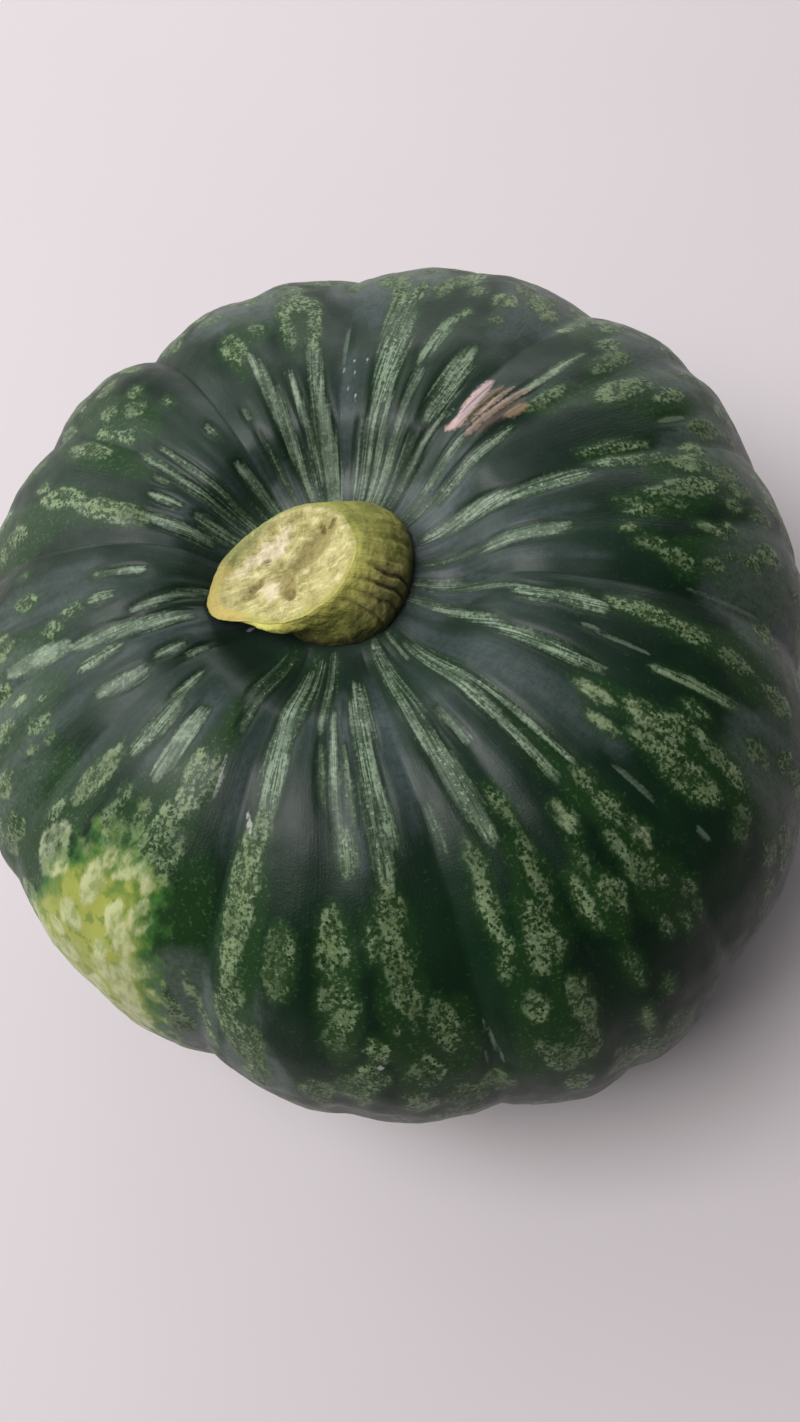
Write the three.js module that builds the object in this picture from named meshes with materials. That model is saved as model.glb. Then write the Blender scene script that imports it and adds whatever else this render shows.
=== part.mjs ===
// Kabocha squash: a squat, lobed fruit with the cut stub of its stalk.
// Units are millimetres and +Z is up. The fruit rests on the flat ring round its blossom end,
// and the origin is the bottom centre of its bounding box.

import * as THREE from 'three';
import { ParametricGeometry } from 'three/addons/geometries/ParametricGeometry.js';

// Driving dimensions of the fruit. Heights are measured from its widest level.
const BODY_RADIUS = 95;
const SHOULDER_HEIGHT = 58.9;
const SQUARENESS = 2.35; // exponent of the outline: 2 is an ellipse, more is boxier
const STEM_HOLLOW = { depth: 19, radius: 28.5 };
const BLOSSOM_DIMPLE = { depth: 5.7, radius: 19 };
const REST_LEVEL = -55.9; // the lowest skin is pressed flat here

// The seat is the small level patch that the stalk grows out of, a little off the middle.
const SEAT = { radius: 17, blendRadius: 34, height: 43, x: -4.9, y: 3.3 };
const SEAT_SHIFT_END = 0.25; // the offset has died out this far from stalk to blossom end

// Plan view: the fruit is slightly oval and lopsided. Each entry is a share of the radius.
const PLAN_WAVES = [
  { waves: 1, cosine: 0.017, sine: 0.002 },
  { waves: 2, cosine: -0.029, sine: 0 },
  { waves: 3, cosine: -0.013, sine: 0.013 },
  { waves: 4, cosine: -0.005, sine: 0.01 },
];

// Grooves between the lobes: where each one runs, in degrees round the stalk, how deep it is,
// and how deep the shallow fold is along the crown of the lobe that follows it.
const GROOVES = [
  { azimuth: -178, depth: 2.6, fold: 0.5 },
  { azimuth: -159, depth: 1.6, fold: 0.6 },
  { azimuth: -125, depth: 4.0, fold: 1.0 },
  { azimuth: -88, depth: 3.2, fold: 1.9 },
  { azimuth: -57, depth: 2.8, fold: 0.9 },
  { azimuth: -17, depth: 4.2, fold: 0.6 },
  { azimuth: 13, depth: 2.4, fold: 0.9 },
  { azimuth: 45, depth: 3.3, fold: 0.7 },
  { azimuth: 81, depth: 3.1, fold: 1.1 },
  { azimuth: 116, depth: 4.0, fold: 0.4 },
  { azimuth: 136, depth: 2.0, fold: 0.4 },
  { azimuth: 160, depth: 2.8, fold: 0.5 },
];
const GROOVE_SHARPNESS = 2.2;
const FOLD_WIDTH = 0.09; // as a share of the lobe's width
const LOBE_SWELL = 1.3; // how far the crowns stand outside the mean outline

// How strong the lobes are along the way from the stalk (t = 0) to the blossom end (t = 1).
const LOBE_RISE = { from: 0.03, to: 0.35, startShare: 0.2 };
const LOBE_FALL = { from: 0.72, to: 0.96 };

// Stalk stub: it leans over and is cut off at a slant, and the cut runs out into a lip.
const STEM_GAP = 0.3;
const STEM_BASE_RADIUS = 14.8;
const STEM_RIM_RADIUS = 13.1;
const STEM_LEAN = new THREE.Vector3(-8.6, 0.1, 10.4); // from the base's middle to the cut's middle
const STEM_BEND = new THREE.Vector3(0.6, 0.4, 6.5); // the control point of the bend between them
const CUT_NORMAL = new THREE.Vector3(-0.28, 0.1, 0.955).normalize();
const CUT_DISH = 1.6;
const LIP = { length: 4.6, width: 0.36, direction: new THREE.Vector3(-1, -0.16, 0) };
const RIM_OVAL = 0.05;
const RIDGES = { count: 15, height: 0.28 };

// Mesh fineness.
const STEPS_PER_LOBE = 10;
const BODY_BANDS = [
  { from: 1, to: 0.8, steps: 10 },
  { from: 0.8, to: 0.3, steps: 11 },
  { from: 0.3, to: 0.05, steps: 9 },
];
const STEM_STEPS_AROUND = 60;
const STEM_STEPS_UP = 8;
const SLOPE_STEP = 0.002; // for finding the slope of the outline
const CUT_RINGS = [0.85, 0.5, 0];

const rindMaterial = { color: 0x1f3a2a, roughness: 0.42, metalness: 0 };
const stalkMaterial = { color: 0xb0a95a, roughness: 0.8, metalness: 0 };

const GROOVE_ANGLES = GROOVES.map((groove) => THREE.MathUtils.degToRad(groove.azimuth));
const SEAT_LEVEL = Math.asin((SEAT.radius / BODY_RADIUS) ** (SQUARENESS / 2)) / Math.PI;

// Smooth bump: 1 in the middle and nearly nothing two widths away.
function bell(distance, width) {
  return Math.exp(-((distance / width) ** 2));
}

// Azimuth at a share of a turn, with the same number of steps in every lobe.
function azimuthAt(turnShare) {
  const lobePosition = (turnShare % 1) * GROOVES.length;
  const lobe = Math.floor(lobePosition);
  const start = GROOVE_ANGLES[lobe];
  const isLast = lobe === GROOVES.length - 1;
  const end = isLast ? GROOVE_ANGLES[0] + 2 * Math.PI : GROOVE_ANGLES[lobe + 1];
  return start + (lobePosition - lobe) * (end - start);
}

// Depth below the crown at a share of a turn: deep at the grooves, a shallow fold between them.
function grooveDepth(turnShare) {
  const lobePosition = (turnShare % 1) * GROOVES.length;
  const lobe = Math.floor(lobePosition);
  const across = lobePosition - lobe;
  const left = GROOVES[lobe].depth;
  const right = GROOVES[(lobe + 1) % GROOVES.length].depth;
  const fromCrown = Math.abs(2 * across - 1);
  const fold = GROOVES[lobe].fold * bell(across - 0.5, FOLD_WIDTH);
  return (left * (1 - across) + right * across) * fromCrown ** GROOVE_SHARPNESS + fold;
}

// Lobes are shallow at the stalk, full round the side and gone at the blossom end.
function lobeStrength(t) {
  const risen = THREE.MathUtils.smoothstep(t, LOBE_RISE.from, LOBE_RISE.to);
  const fallen = THREE.MathUtils.smoothstep(t, LOBE_FALL.from, LOBE_FALL.to);
  return (LOBE_RISE.startShare + (1 - LOBE_RISE.startShare) * risen) * (1 - fallen);
}

function planFactor(azimuth) {
  return PLAN_WAVES.reduce(
    (sum, wave) =>
      sum + wave.cosine * Math.cos(wave.waves * azimuth) + wave.sine * Math.sin(wave.waves * azimuth),
    1,
  );
}

// Outline of the fruit, t = 0 at the stalk and 1 at the blossom end.
function outlineAt(t) {
  const sine = Math.sin(Math.PI * t);
  const cosine = Math.cos(Math.PI * t);
  const radius = BODY_RADIUS * Math.abs(sine) ** (2 / SQUARENESS);
  const dome = Math.sign(cosine) * SHOULDER_HEIGHT * Math.abs(cosine) ** (2 / SQUARENESS);
  if (cosine < 0) {
    return { radius, height: dome + BLOSSOM_DIMPLE.depth * bell(radius, BLOSSOM_DIMPLE.radius) };
  }
  const hollow = dome - STEM_HOLLOW.depth * bell(radius, STEM_HOLLOW.radius);
  const outOfSeat = THREE.MathUtils.smoothstep(radius, SEAT.radius, SEAT.blendRadius);
  return { radius, height: SEAT.height + (hollow - SEAT.height) * outOfSeat };
}

// Outward direction of the outline, as a radial and a vertical share.
function outlineNormal(t) {
  const before = outlineAt(Math.max(t - SLOPE_STEP, 0));
  const after = outlineAt(Math.min(t + SLOPE_STEP, 1));
  const radial = before.height - after.height;
  const vertical = after.radius - before.radius;
  const length = Math.hypot(radial, vertical);
  return { radial: radial / length, vertical: vertical / length };
}

function bodyPoint(turnShare, t, target) {
  const azimuth = azimuthAt(turnShare);
  const outline = outlineAt(t);
  const normal = outlineNormal(t);
  const onSeat = t <= SEAT_LEVEL;
  const relief = onSeat ? 0 : (LOBE_SWELL - grooveDepth(turnShare)) * lobeStrength(t);
  const plan = 1 + ((planFactor(azimuth) - 1) * outline.radius) / BODY_RADIUS;
  const radius = (outline.radius + relief * normal.radial) * plan;
  const height = outline.height + relief * normal.vertical;
  const seatShare = 1 - THREE.MathUtils.smoothstep(t, 0, SEAT_SHIFT_END);
  target.set(
    radius * Math.cos(azimuth) + SEAT.x * seatShare,
    radius * Math.sin(azimuth) + SEAT.y * seatShare,
    Math.max(height, REST_LEVEL),
  );
}

// The levels of the fruit's rings of points, from the blossom end up to the stalk's seat.
function bodyLevels() {
  const levels = [];
  for (const band of BODY_BANDS) {
    for (let step = 0; step < band.steps; step += 1) {
      levels.push(band.from + ((band.to - band.from) * step) / band.steps);
    }
  }
  return [...levels, SEAT_LEVEL, 0];
}

function makeBody() {
  const levels = bodyLevels();
  const stacks = levels.length - 1;
  return new ParametricGeometry(
    (u, v, target) => bodyPoint(u, levels[Math.round(v * stacks)], target),
    GROOVES.length * STEPS_PER_LOBE,
    stacks,
  );
}

// Middle and upward direction of the stalk's section, climb = 0 at the seat and 1 at the cut.
function stemSection(climb) {
  const base = new THREE.Vector3(SEAT.x, SEAT.y, SEAT.height + STEM_GAP);
  const bend = base.clone().add(STEM_BEND);
  const top = base.clone().add(STEM_LEAN);
  const middle = new THREE.QuadraticBezierCurve3(base, bend, top).getPoint(climb);
  const normal = new THREE.Vector3(0, 0, 1).lerp(CUT_NORMAL, climb).normalize();
  return { middle, normal };
}

function stemPoint(turnShare, ring, target) {
  const turn = (turnShare % 1) * 2 * Math.PI;
  const { middle, normal } = stemSection(ring.climb);
  const toLip = LIP.direction.clone().projectOnPlane(normal).normalize();
  const sideways = normal.clone().cross(toLip);
  const fromLip = Math.atan2(Math.sin(turn), Math.cos(turn));
  const lip = LIP.length * bell(fromLip, LIP.width);
  const ridge = RIDGES.height * Math.cos(RIDGES.count * turn);
  const rim = STEM_RIM_RADIUS * (1 + RIM_OVAL * Math.cos(2 * turn)) + lip;
  const toRim = THREE.MathUtils.smoothstep(ring.climb, 0, 1);
  const radius = ring.share * (STEM_BASE_RADIUS * (1 - toRim) + rim * toRim + ridge);
  target
    .copy(middle)
    .addScaledVector(toLip, radius * Math.cos(turn))
    .addScaledVector(sideways, radius * Math.sin(turn))
    .addScaledVector(normal, ring.climb === 1 ? -CUT_DISH * (1 - ring.share ** 2) : 0);
}

function makeStem() {
  const rings = [{ climb: 0, share: 0 }];
  for (let step = 0; step <= STEM_STEPS_UP; step += 1) {
    rings.push({ climb: step / STEM_STEPS_UP, share: 1 });
  }
  for (const share of CUT_RINGS) {
    rings.push({ climb: 1, share });
  }
  const stacks = rings.length - 1;
  return new ParametricGeometry(
    (u, v, target) => stemPoint(u, rings[Math.round(v * stacks)], target),
    STEM_STEPS_AROUND,
    stacks,
  );
}

function makePiece(name, geometry, material) {
  const piece = new THREE.Mesh(geometry, new THREE.MeshStandardMaterial(material));
  piece.name = name;
  return piece;
}

const squash = new THREE.Group();
squash.add(makePiece('squash_body', makeBody(), rindMaterial));
squash.add(makePiece('stem', makeStem(), stalkMaterial));

// Stand the fruit on the origin.
const extent = new THREE.Box3().setFromObject(squash);
const footprint = extent.getCenter(new THREE.Vector3());
squash.position.set(-footprint.x, -footprint.y, -extent.min.z);

export default squash;
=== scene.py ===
"""Kabocha squash: the looks of the fruit and of its cut stalk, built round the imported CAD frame.

Shapes are worked out in millimetres from the middle of the fruit's widest level, with +Z up
towards the stalk, and are moved into the frame, in metres, as each mesh is made. A place on the
rind is given by its azimuth round the stalk, in degrees, and by t, which runs from 0 at the stalk
through 0.5 at the widest level to 1 at the blossom end.
"""

import math
from types import SimpleNamespace

import bpy
import numpy as np
from mathutils import Matrix, Vector, noise


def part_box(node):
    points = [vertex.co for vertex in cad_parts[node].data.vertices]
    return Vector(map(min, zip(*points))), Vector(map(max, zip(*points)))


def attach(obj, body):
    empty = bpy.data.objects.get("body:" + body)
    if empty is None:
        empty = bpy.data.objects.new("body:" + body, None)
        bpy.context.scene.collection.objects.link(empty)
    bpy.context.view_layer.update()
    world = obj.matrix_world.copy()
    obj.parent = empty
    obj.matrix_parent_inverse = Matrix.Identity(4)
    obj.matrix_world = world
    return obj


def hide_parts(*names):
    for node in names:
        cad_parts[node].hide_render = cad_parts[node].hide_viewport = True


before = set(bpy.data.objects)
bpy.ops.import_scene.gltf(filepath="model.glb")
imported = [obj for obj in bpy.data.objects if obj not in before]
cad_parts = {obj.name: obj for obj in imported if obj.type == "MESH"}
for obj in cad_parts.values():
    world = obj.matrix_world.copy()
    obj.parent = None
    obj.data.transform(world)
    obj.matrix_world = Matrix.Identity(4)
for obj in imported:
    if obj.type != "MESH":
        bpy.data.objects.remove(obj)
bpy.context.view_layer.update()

MM = 0.001
TAU = 2 * math.pi

# ---- Sizes of the fruit, in millimetres (the CAD model's) ----

BODY_RADIUS = 95.0
SHOULDER_HEIGHT = 58.9
SQUARENESS = 2.35
HOLLOW_DEPTH = 19.0
HOLLOW_RADIUS = 28.5
DIMPLE_DEPTH = 5.7
DIMPLE_RADIUS = 19.0
REST_LEVEL = -55.9

SEAT_RADIUS = 17.0
SEAT_BLEND_RADIUS = 34.0
SEAT_HEIGHT = 43.0
SEAT_MIDDLE = (-4.9, 3.3)
SEAT_SHIFT_END = 0.25

# Plan view: (waves round the fruit, cosine share, sine share)
PLAN_WAVES = ((1, 0.017, 0.002), (2, -0.029, 0.0), (3, -0.013, 0.013), (4, -0.005, 0.01))

# Grooves between the lobes: (azimuth, depth, depth of the fold on the lobe that follows)
GROOVES = (
    (-178, 2.6, 0.5),
    (-159, 1.6, 0.6),
    (-125, 4.0, 1.0),
    (-88, 3.2, 1.9),
    (-57, 2.8, 0.9),
    (-17, 4.2, 0.6),
    (13, 2.4, 0.9),
    (45, 3.3, 0.7),
    (81, 3.1, 1.1),
    (116, 4.0, 0.4),
    (136, 2.0, 0.4),
    (160, 2.8, 0.5),
)
GROOVE_SHARPNESS = 2.2
FOLD_WIDTH = 0.09
LOBE_SWELL = 1.3
LOBE_RISE = (0.03, 0.35)
LOBE_RISE_START = 0.2
LOBE_FALL = (0.72, 0.96)

# Fineness of the rind's mesh, and how much closer its rows lie above and below the widest level.
STEPS_PER_LOBE = 54
RIND_ROWS = 148
ROWS_ABOVE = 1.25
ROWS_BELOW = 0.85

# The part of the CAD solid's grid that reaches furthest out.
CAD_STEPS_PER_LOBE = 10
CAD_LEVELS = (0.3, 0.8, 12)

# Fine relief of the rind. Noises are (height, size, seed).
BROAD_LUMPS = (0.55, 26.0, 1)
SMALL_LUMPS = (0.16, 7.0, 2)
CORK_GRAIN = (0.25, 2.2, 3)
CORK_HEIGHT = 0.35
PLEAT_DEPTH = 0.35
PLEAT_EDGE_DEPTH = 0.30
PLEATS_END = (0.10, 0.22)
BLOTCH_SWELL = 0.12
THREAD_DEPTH = 0.35
RELIEF_START = (0.05, 0.09)
RELIEF_END = (0.86, 0.93)

# ---- Marks on the rind, placed one by one ----
# Each is (azimuth, t from, t to, width) and, where it is paler or fainter than most, its paleness;
# 1 is the usual. Azimuth and width are in degrees and t is in thousandths. A mark that leans has
# a pair for its azimuth, (from, to).

# Pale streaks that spread from the stalk.
STREAKS = (
    ((98, 103), 50, 175, 3.6, 1.2), ((90.5, 95.5), 60, 140, 2.2, 1.3),
    ((84.5, 87.5), 40, 115, 7.2, 1.35), ((87.5, 89), 100, 165, 3.8, 1.1),
    ((67.5, 69.5), 40, 120, 2.6, 1.3), ((63.5, 66), 40, 120, 3, 1.3),
    ((68, 72.5), 105, 245, 6.2, 0.85), ((58.5, 60.5), 40, 135, 2.4, 1.35),
    ((62, 60.5), 145, 205, 3.4, 0.8), ((51, 46.5), 45, 112, 1.9, 1.4), ((53.5, 54), 40, 85, 1.5),
    ((48.5, 47), 45, 80, 1.6, 0.5), ((51, 53), 100, 165, 5.4), ((36, 38.5), 40, 100, 2.3, 1.2),
    ((33, 30), 40, 85, 1.8, 0.8), ((28.5, 30.5), 65, 125, 3.2), ((17, 9.5), 45, 110, 5.6, 1.15),
    ((10.5, 10), 100, 152, 3.8, 0.8), ((-3.5, -3), 40, 70, 1.8, 0.5),
    ((-4.6, -3.6), 77, 127, 4, 1.25), (-15.5, 35, 62, 1.3, 1.1),
    ((-17.5, -22.5), 35, 100, 2.3, 1.2), ((-24.3, -24.5), 94, 121, 4.2),
    ((-23.5, -25), 118, 150, 5.2), ((-29.5, -38.5), 33, 100, 4.4), ((-38.5, -39.2), 94, 160, 3.8),
    ((-61.5, -62.5), 45, 174, 2.9), ((-58, -57.5), 52, 174, 2.4), ((-64, -67), 34, 56, 2.4, 0.7),
    ((-72.6, -71.3), 98, 126, 1.3, 1.35), ((-80.5, -81), 40, 120, 2.4),
    ((-77, -77.5), 36, 120, 2.6), ((-78.9, -78), 110, 184, 4.6, 0.7),
    ((-86.5, -86.2), 153, 182, 1.2, 0.7), ((-94.6, -98.4), 60, 170, 4.6),
    ((-97.8, -94.8), 75, 175, 4.6), ((-97.4, -97.2), 160, 205, 3.3),
    ((-106.5, -108.5), 40, 100, 2.1, 0.8), ((-105, -104.4), 83, 170, 2.2, 1.3),
    ((-103.4, -103.6), 166, 192, 3.6), ((-119.5, -120.5), 55, 120, 3.6),
    ((-114.5, -116.5), 45, 105, 3.2, 0.7), ((-119.6, -119.9), 100, 168, 5.8, 0.8),
    ((-137, -133.5), 50, 100, 2, 0.5), ((-131, -131.5), 48, 115, 2.4, 0.5),
    ((-143.3, -144), 120, 180, 4.2, 1.25), ((-149.8, -151), 126, 178, 3.8),
    ((-163.2, -165.3), 135, 178, 3.2, 1.4), ((-164.5, -165), 100, 122, 2.1, 1.35),
    (-160, 86, 102, 1.5, 1.2), ((-174, -178.5), 88, 190, 4.2, 1.2), (-172.5, 148, 187, 2.9),
    ((176, 179.8), 74, 130, 2.4, 1.25), ((-179.5, 179.5), 198, 280, 3.4, 1.4), (174, 147, 170, 2.6),
    (168, 120, 146, 1.5, 1.4), (168, 149, 166, 2), ((153.5, 151.5), 75, 130, 3.4, 1.2),
    ((147, 146), 50, 90, 4.2, 0.9), (145.5, 105, 131, 2.3), (140.5, 124, 136, 1.5, 0.7),
    ((138.5, 136), 60, 165, 2.4, 0.9), ((119, 121.5), 40, 88, 6, 1.1), (109.5, 112, 125, 1.4, 0.7),
    (121, 120, 130, 1.4, 0.7), ((133.5, 132.5), 45, 150, 2, 0.9), ((73.5, 73), 40, 90, 1.2, 0.9),
    ((93, 94), 45, 80, 1.4), ((107, 109), 45, 100, 1.2, 0.6), ((150.5, 150), 50, 85, 2, 0.9),
    (-152, 100, 130, 1.6, 0.7), ((-101.5, -101), 110, 160, 2, 0.6),
    ((-108, -107.5), 110, 150, 1.6, 0.6), ((35.9, 37), 150, 222, 1.6, 1.15),
    ((137.5, 137), 40, 75, 3, 1.1), ((126.5, 127), 42, 72, 2, 0.9),
    ((-34, -33), 192, 272, 1.7, 0.95),
)

# Shorter mottled blotches further out.
BLOTCHES = (
    (105.5, 172, 216, 5, 1.1), ((93.5, 94.5), 165, 245, 3), ((88.5, 88), 162, 235, 3),
    (91, 222, 250, 6), ((55.2, 54.6), 238, 262, 4, 1.25), (53.5, 205, 218, 2.4),
    ((43.8, 42.3), 248, 305, 2.8, 1.25), (32.5, 213, 262, 4, 0.7), (26.2, 194, 252, 5, 0.8),
    ((31.5, 32), 143, 180, 3.2, 0.7), (22.5, 248, 282, 3.4, 0.9), ((15.5, 14), 154, 208, 2.4, 0.9),
    ((11.5, 10.5), 160, 235, 2.9, 0.9), ((9.2, 8.8), 228, 268, 4), ((7.5, 7), 265, 300, 3.4),
    (3.1, 182, 201, 2), (1.8, 162, 179, 1.5), (-1, 169, 194, 2.9), (-5, 162, 177, 1.3, 1.3),
    (-8, 174, 194, 2.8), ((-10, -11.5), 193, 217, 3.8), ((3.5, 4.5), 203, 262, 4.4),
    (0.5, 199, 221, 2.3), (1, 267, 287, 2.5), (-3.5, 253, 274, 2.5),
    ((-3.2, -5.2), 226, 258, 2, 1.2), (-10.7, 231, 249, 2.4), (-8.7, 254, 267, 1.9),
    (-8.5, 279, 307, 3), ((-23, -24), 155, 207, 4.4), (-24.5, 203, 231, 3.9),
    ((-25.5, -26.5), 242, 286, 3.3), (-37.3, 221, 243, 2.5), (-40, 221, 244, 2.3),
    (-42.7, 182, 206, 3.9, 1.25), (-42.3, 204, 227, 3.9), (-44.3, 149, 172, 3.4, 1.3),
    (-48.5, 163, 187, 2.4, 1.2), ((-47, -45), 194, 240, 3.4), ((-47.5, -46.5), 222, 278, 4.6),
    ((-41, -42.5), 244, 304, 3, 0.95), (-45.2, 306, 323, 2.9, 0.55), (-47.5, 309, 331, 2.4, 0.5),
    (-58.6, 178, 199, 2.8, 0.8), (-58.9, 202, 223, 3.8, 0.85), (-65.5, 187, 209, 3.1, 1.3),
    (-61.8, 221, 244, 2.2), (-58, 231, 254, 3, 1.3), (-59.3, 266, 288, 2),
    ((-61.8, -61), 250, 278, 4.2, 0.7), (-67.5, 214, 233, 1.7), ((-70.3, -70.2), 229, 277, 2.2),
    (-66.8, 249, 273, 4.8), (-57, 301, 319, 2.4, 0.8), (-57.9, 329, 345, 2.4, 0.6),
    (-62.6, 307, 326, 2), (-60.2, 321, 341, 2), (-66, 361, 376, 2, 0.55),
    ((-68.7, -68.9), 304, 348, 1.6, 0.7), ((-69.6, -69.9), 374, 420, 1.6, 0.6),
    (-73.5, 154, 182, 2.8), (-82.2, 183, 213, 2.9, 0.95), ((-82.8, -83.2), 208, 252, 2.8, 0.9),
    (-82.3, 249, 269, 1.7), ((-74, -74.8), 192, 242, 3, 0.9), (-77.5, 234, 257, 3.3, 0.9),
    (-76.7, 257, 283, 3.4), ((-82, -83.8), 252, 286, 2.4), ((-79.3, -79), 254, 290, 2.8),
    (-81.5, 307, 331, 3), (-76.2, 306, 354, 3.4, 1.2), (-77.2, 362, 392, 4, 0.7),
    ((-80.5, -80.2), 372, 398, 4.6, 0.7), (-82.5, 359, 373, 2.5, 0.7),
    ((-92.9, -92.4), 298, 347, 4, 0.85), (-98.4, 316, 323, 1.2, 0.9), (-97.5, 204, 238, 4.8, 0.8),
    ((-97.4, -97.3), 242, 275, 5, 0.8), ((-96.9, -96.4), 276, 306, 4, 0.75), (-95.7, 361, 389, 4.8),
    (-97.8, 404, 418, 2.5), (-120, 163, 188, 3.8), ((-121.5, -121.7), 180, 298, 5.4, 1.15),
    ((-120.5, -120.3), 292, 342, 4, 0.75), ((-117, -116.8), 352, 395, 3.6, 0.6),
    ((-115.2, -115), 243, 297, 1.9), ((-112.7, -112.8), 247, 295, 1.9),
    (-106.5, 221, 282, 4.7, 0.85), (-105.7, 280, 324, 5.8, 0.9), (-106.3, 324, 352, 3, 0.6),
    (-100.8, 224, 257, 1.6), (-101, 334, 351, 3.8), (-102, 366, 393, 4.8),
    ((-137.5, -136), 142, 194, 4.4, 1.2), ((-133.3, -134), 142, 180, 3.6, 0.9),
    ((-137.8, -137.5), 188, 222, 4.8), (-134, 208, 247, 2.9), (-147, 202, 218, 2.4),
    ((-145.5, -144.5), 225, 262, 3.4, 0.9), (-144.4, 271, 319, 3.8), (-146, 338, 363, 3.4),
    (-135.4, 277, 304, 3.4), (-138.8, 294, 322, 3.6), (-139.5, 342, 368, 2.2),
    (-136.5, 317, 338, 3.9), (-138.5, 368, 393, 3.9, 0.8), (-135.5, 367, 413, 4.3, 0.6),
    ((-153.3, -154.6), 188, 254, 4.3, 1.25), (-156, 267, 289, 2.9), (-152.7, 282, 339, 6.4, 1.7),
    (-172.3, 227, 244, 2), (-175.4, 262, 279, 2.4, 1.5), (-171.9, 283, 310, 3.6, 1.2),
    (-165.8, 308, 338, 4, 1.2), ((-165.3, -165.5), 236, 249, 1.6, 1.2),
    ((-165.8, -166), 259, 272, 1.6, 1.3), ((152.5, 151.5), 126, 199, 5.4, 1.15),
    (149.3, 202, 258, 4.4), (147, 261, 279, 2.4), (155, 271, 309, 3.9), (138.8, 200, 262, 4),
    (134, 184, 205, 3.6), (134.5, 214, 236, 3.6), (174.5, 177, 197, 2.8), (176.5, 202, 223, 2.8),
    (169, 234, 261, 2.9), (163.5, 254, 267, 1.5), ((175, 174.5), 268, 312, 4.4, 1.2),
    (128, 200, 222, 4.6, 0.8), (125, 225, 240, 3.6, 0.7), (130.5, 232, 250, 4, 0.8),
    (123, 176, 188, 2.2, 0.8), (100, 200, 222, 3.4, 0.7), (-96.2, 316, 323, 1.4, 0.9),
    ((-114.2, -114), 243, 302, 4.6, 0.5), (-105, 395, 420, 5, 0.7), (-109, 410, 440, 5, 0.8),
    (-88, 400, 430, 4, 0.6), (-92, 410, 440, 5, 0.7), ((-139.5, -138.8), 205, 255, 3.2, 0.8),
    ((-142.5, -142.2), 200, 236, 3, 0.7), ((-136.4, -136.2), 235, 262, 3.8, 0.9),
    ((-141.4, -141.2), 246, 272, 3.8, 1.1), ((-147.5, -146.5), 225, 250, 3, 0.8),
    ((-127.6, -124.6), 325, 385, 1.5, 1.25), ((-124.5, -122.4), 380, 425, 1.7, 1.1),
    ((-121.8, -118.5), 335, 410, 4, 0.85), ((-117.5, -115.5), 370, 430, 3, 0.75),
    ((-129.8, -127.5), 350, 420, 2.6, 0.8), ((5.3, 4.3), 272, 310, 4.2, 1.2),
    ((0.3, 0), 302, 335, 3.4, 1.1), ((-6, -6.5), 300, 335, 3.6), (-28, 305, 345, 4),
    ((-36.8, -37), 295, 325, 3.4, 0.85), (-34.7, 343, 372, 3.2, 0.9), (-45.6, 365, 390, 3.4, 0.8),
    ((-42.2, -42), 382, 410, 3.8, 0.9), (-47.9, 398, 420, 2.6, 1.1),
    ((12.3, 11.8), 245, 275, 3, 1.2), (16, 270, 310, 4), ((-18, -18.5), 305, 340, 4, 0.9),
    ((-168.5, -169), 235, 262, 2.6, 1.1), ((-178.8, -179), 292, 326, 3.6, 1.1),
    (-160.5, 330, 362, 3.6, 1.1), (-171, 336, 366, 4, 1.2), ((65.8, 65.6), 234, 264, 3.4, 1.2),
    ((59.8, 60), 245, 268, 3), ((50.5, 51), 262, 300, 4), (36, 245, 275, 3.4, 0.9),
    ((69.6, 69.3), 225, 262, 2.8, 0.9), (73, 235, 270, 3.6, 0.8), ((48, 47.6), 252, 280, 2.8, 1.2),
    (59.3, 205, 216, 2, 0.8),
)

# Patches of a middling green, with no clear edge.
SHADES = (
    ((51, 50), 45, 90, 8), ((68, 70), 50, 240, 8), (30, 145, 195, 7), ((8.5, 7.5), 250, 310, 7),
    ((12.8, 11.5), 155, 235, 5), ((0.5, 1.5), 165, 250, 8), ((-11.5, -13), 195, 230, 6),
    ((-23.8, -25), 160, 290, 6.5), ((-42.5, -45), 150, 300, 7), ((-60, -60.5), 110, 235, 8),
    ((-61, -60), 235, 340, 8.5), ((-68.5, -68), 225, 290, 8), ((-75, -78), 190, 300, 8),
    ((-78.5, -77.5), 300, 420, 6), ((-81, -84), 260, 410, 5.5), ((-91, -93), 300, 420, 7.5),
    (-97.3, 205, 410, 7.5), (-105.8, 225, 370, 7), (-114, 240, 300, 5.5),
    ((-120.5, -118.5), 180, 410, 7), ((-117, -121), 40, 170, 8), ((-134, -135), 45, 240, 8.5),
    ((-144.5, -142), 200, 300, 9), ((-153.5, -153), 200, 400, 7), (152, 130, 310, 7.5),
    (91, 150, 270, 8.5), ((105.5, 104), 150, 220, 6.5), (177, 200, 340, 7),
    ((130, 131), 170, 290, 12), ((100, 102), 190, 250, 9), ((28, 27), 190, 270, 12),
    # From (-40, 270, 440, 11) on, the rows lie along the rims, where the rind is partly a paler
    # green and partly painted sheen of grazing light.
    ((140, 139), 140, 280, 8), ((-140, -139), 160, 280, 16), (-40, 270, 440, 11),
    (-25, 250, 440, 13), (-9, 220, 440, 13), (8, 210, 420, 13), (22, 230, 400, 12),
    (41, 250, 360, 10), (-173, 220, 460, 12), (-160, 240, 460, 12), (-129, 220, 470, 9),
    (155, 240, 360, 12),
)

# Thin pale threads, where the rind has stretched.
THREADS = (
    (81.3, 140, 190, 0.7), (18.3, 234, 267, 0.9), ((-15.5, -16), 213, 310, 0.5),
    ((-31.5, -31.8), 149, 187, 0.8), (-51.3, 276, 298, 0.8), (-53, 194, 240, 0.8),
    ((-88, -86.6), 324, 386, 0.5), ((-88.6, -88.3), 362, 392, 0.5), ((-99, -100.5), 354, 359, 0.9),
    (-30.5, 137, 150, 1),
)
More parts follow.
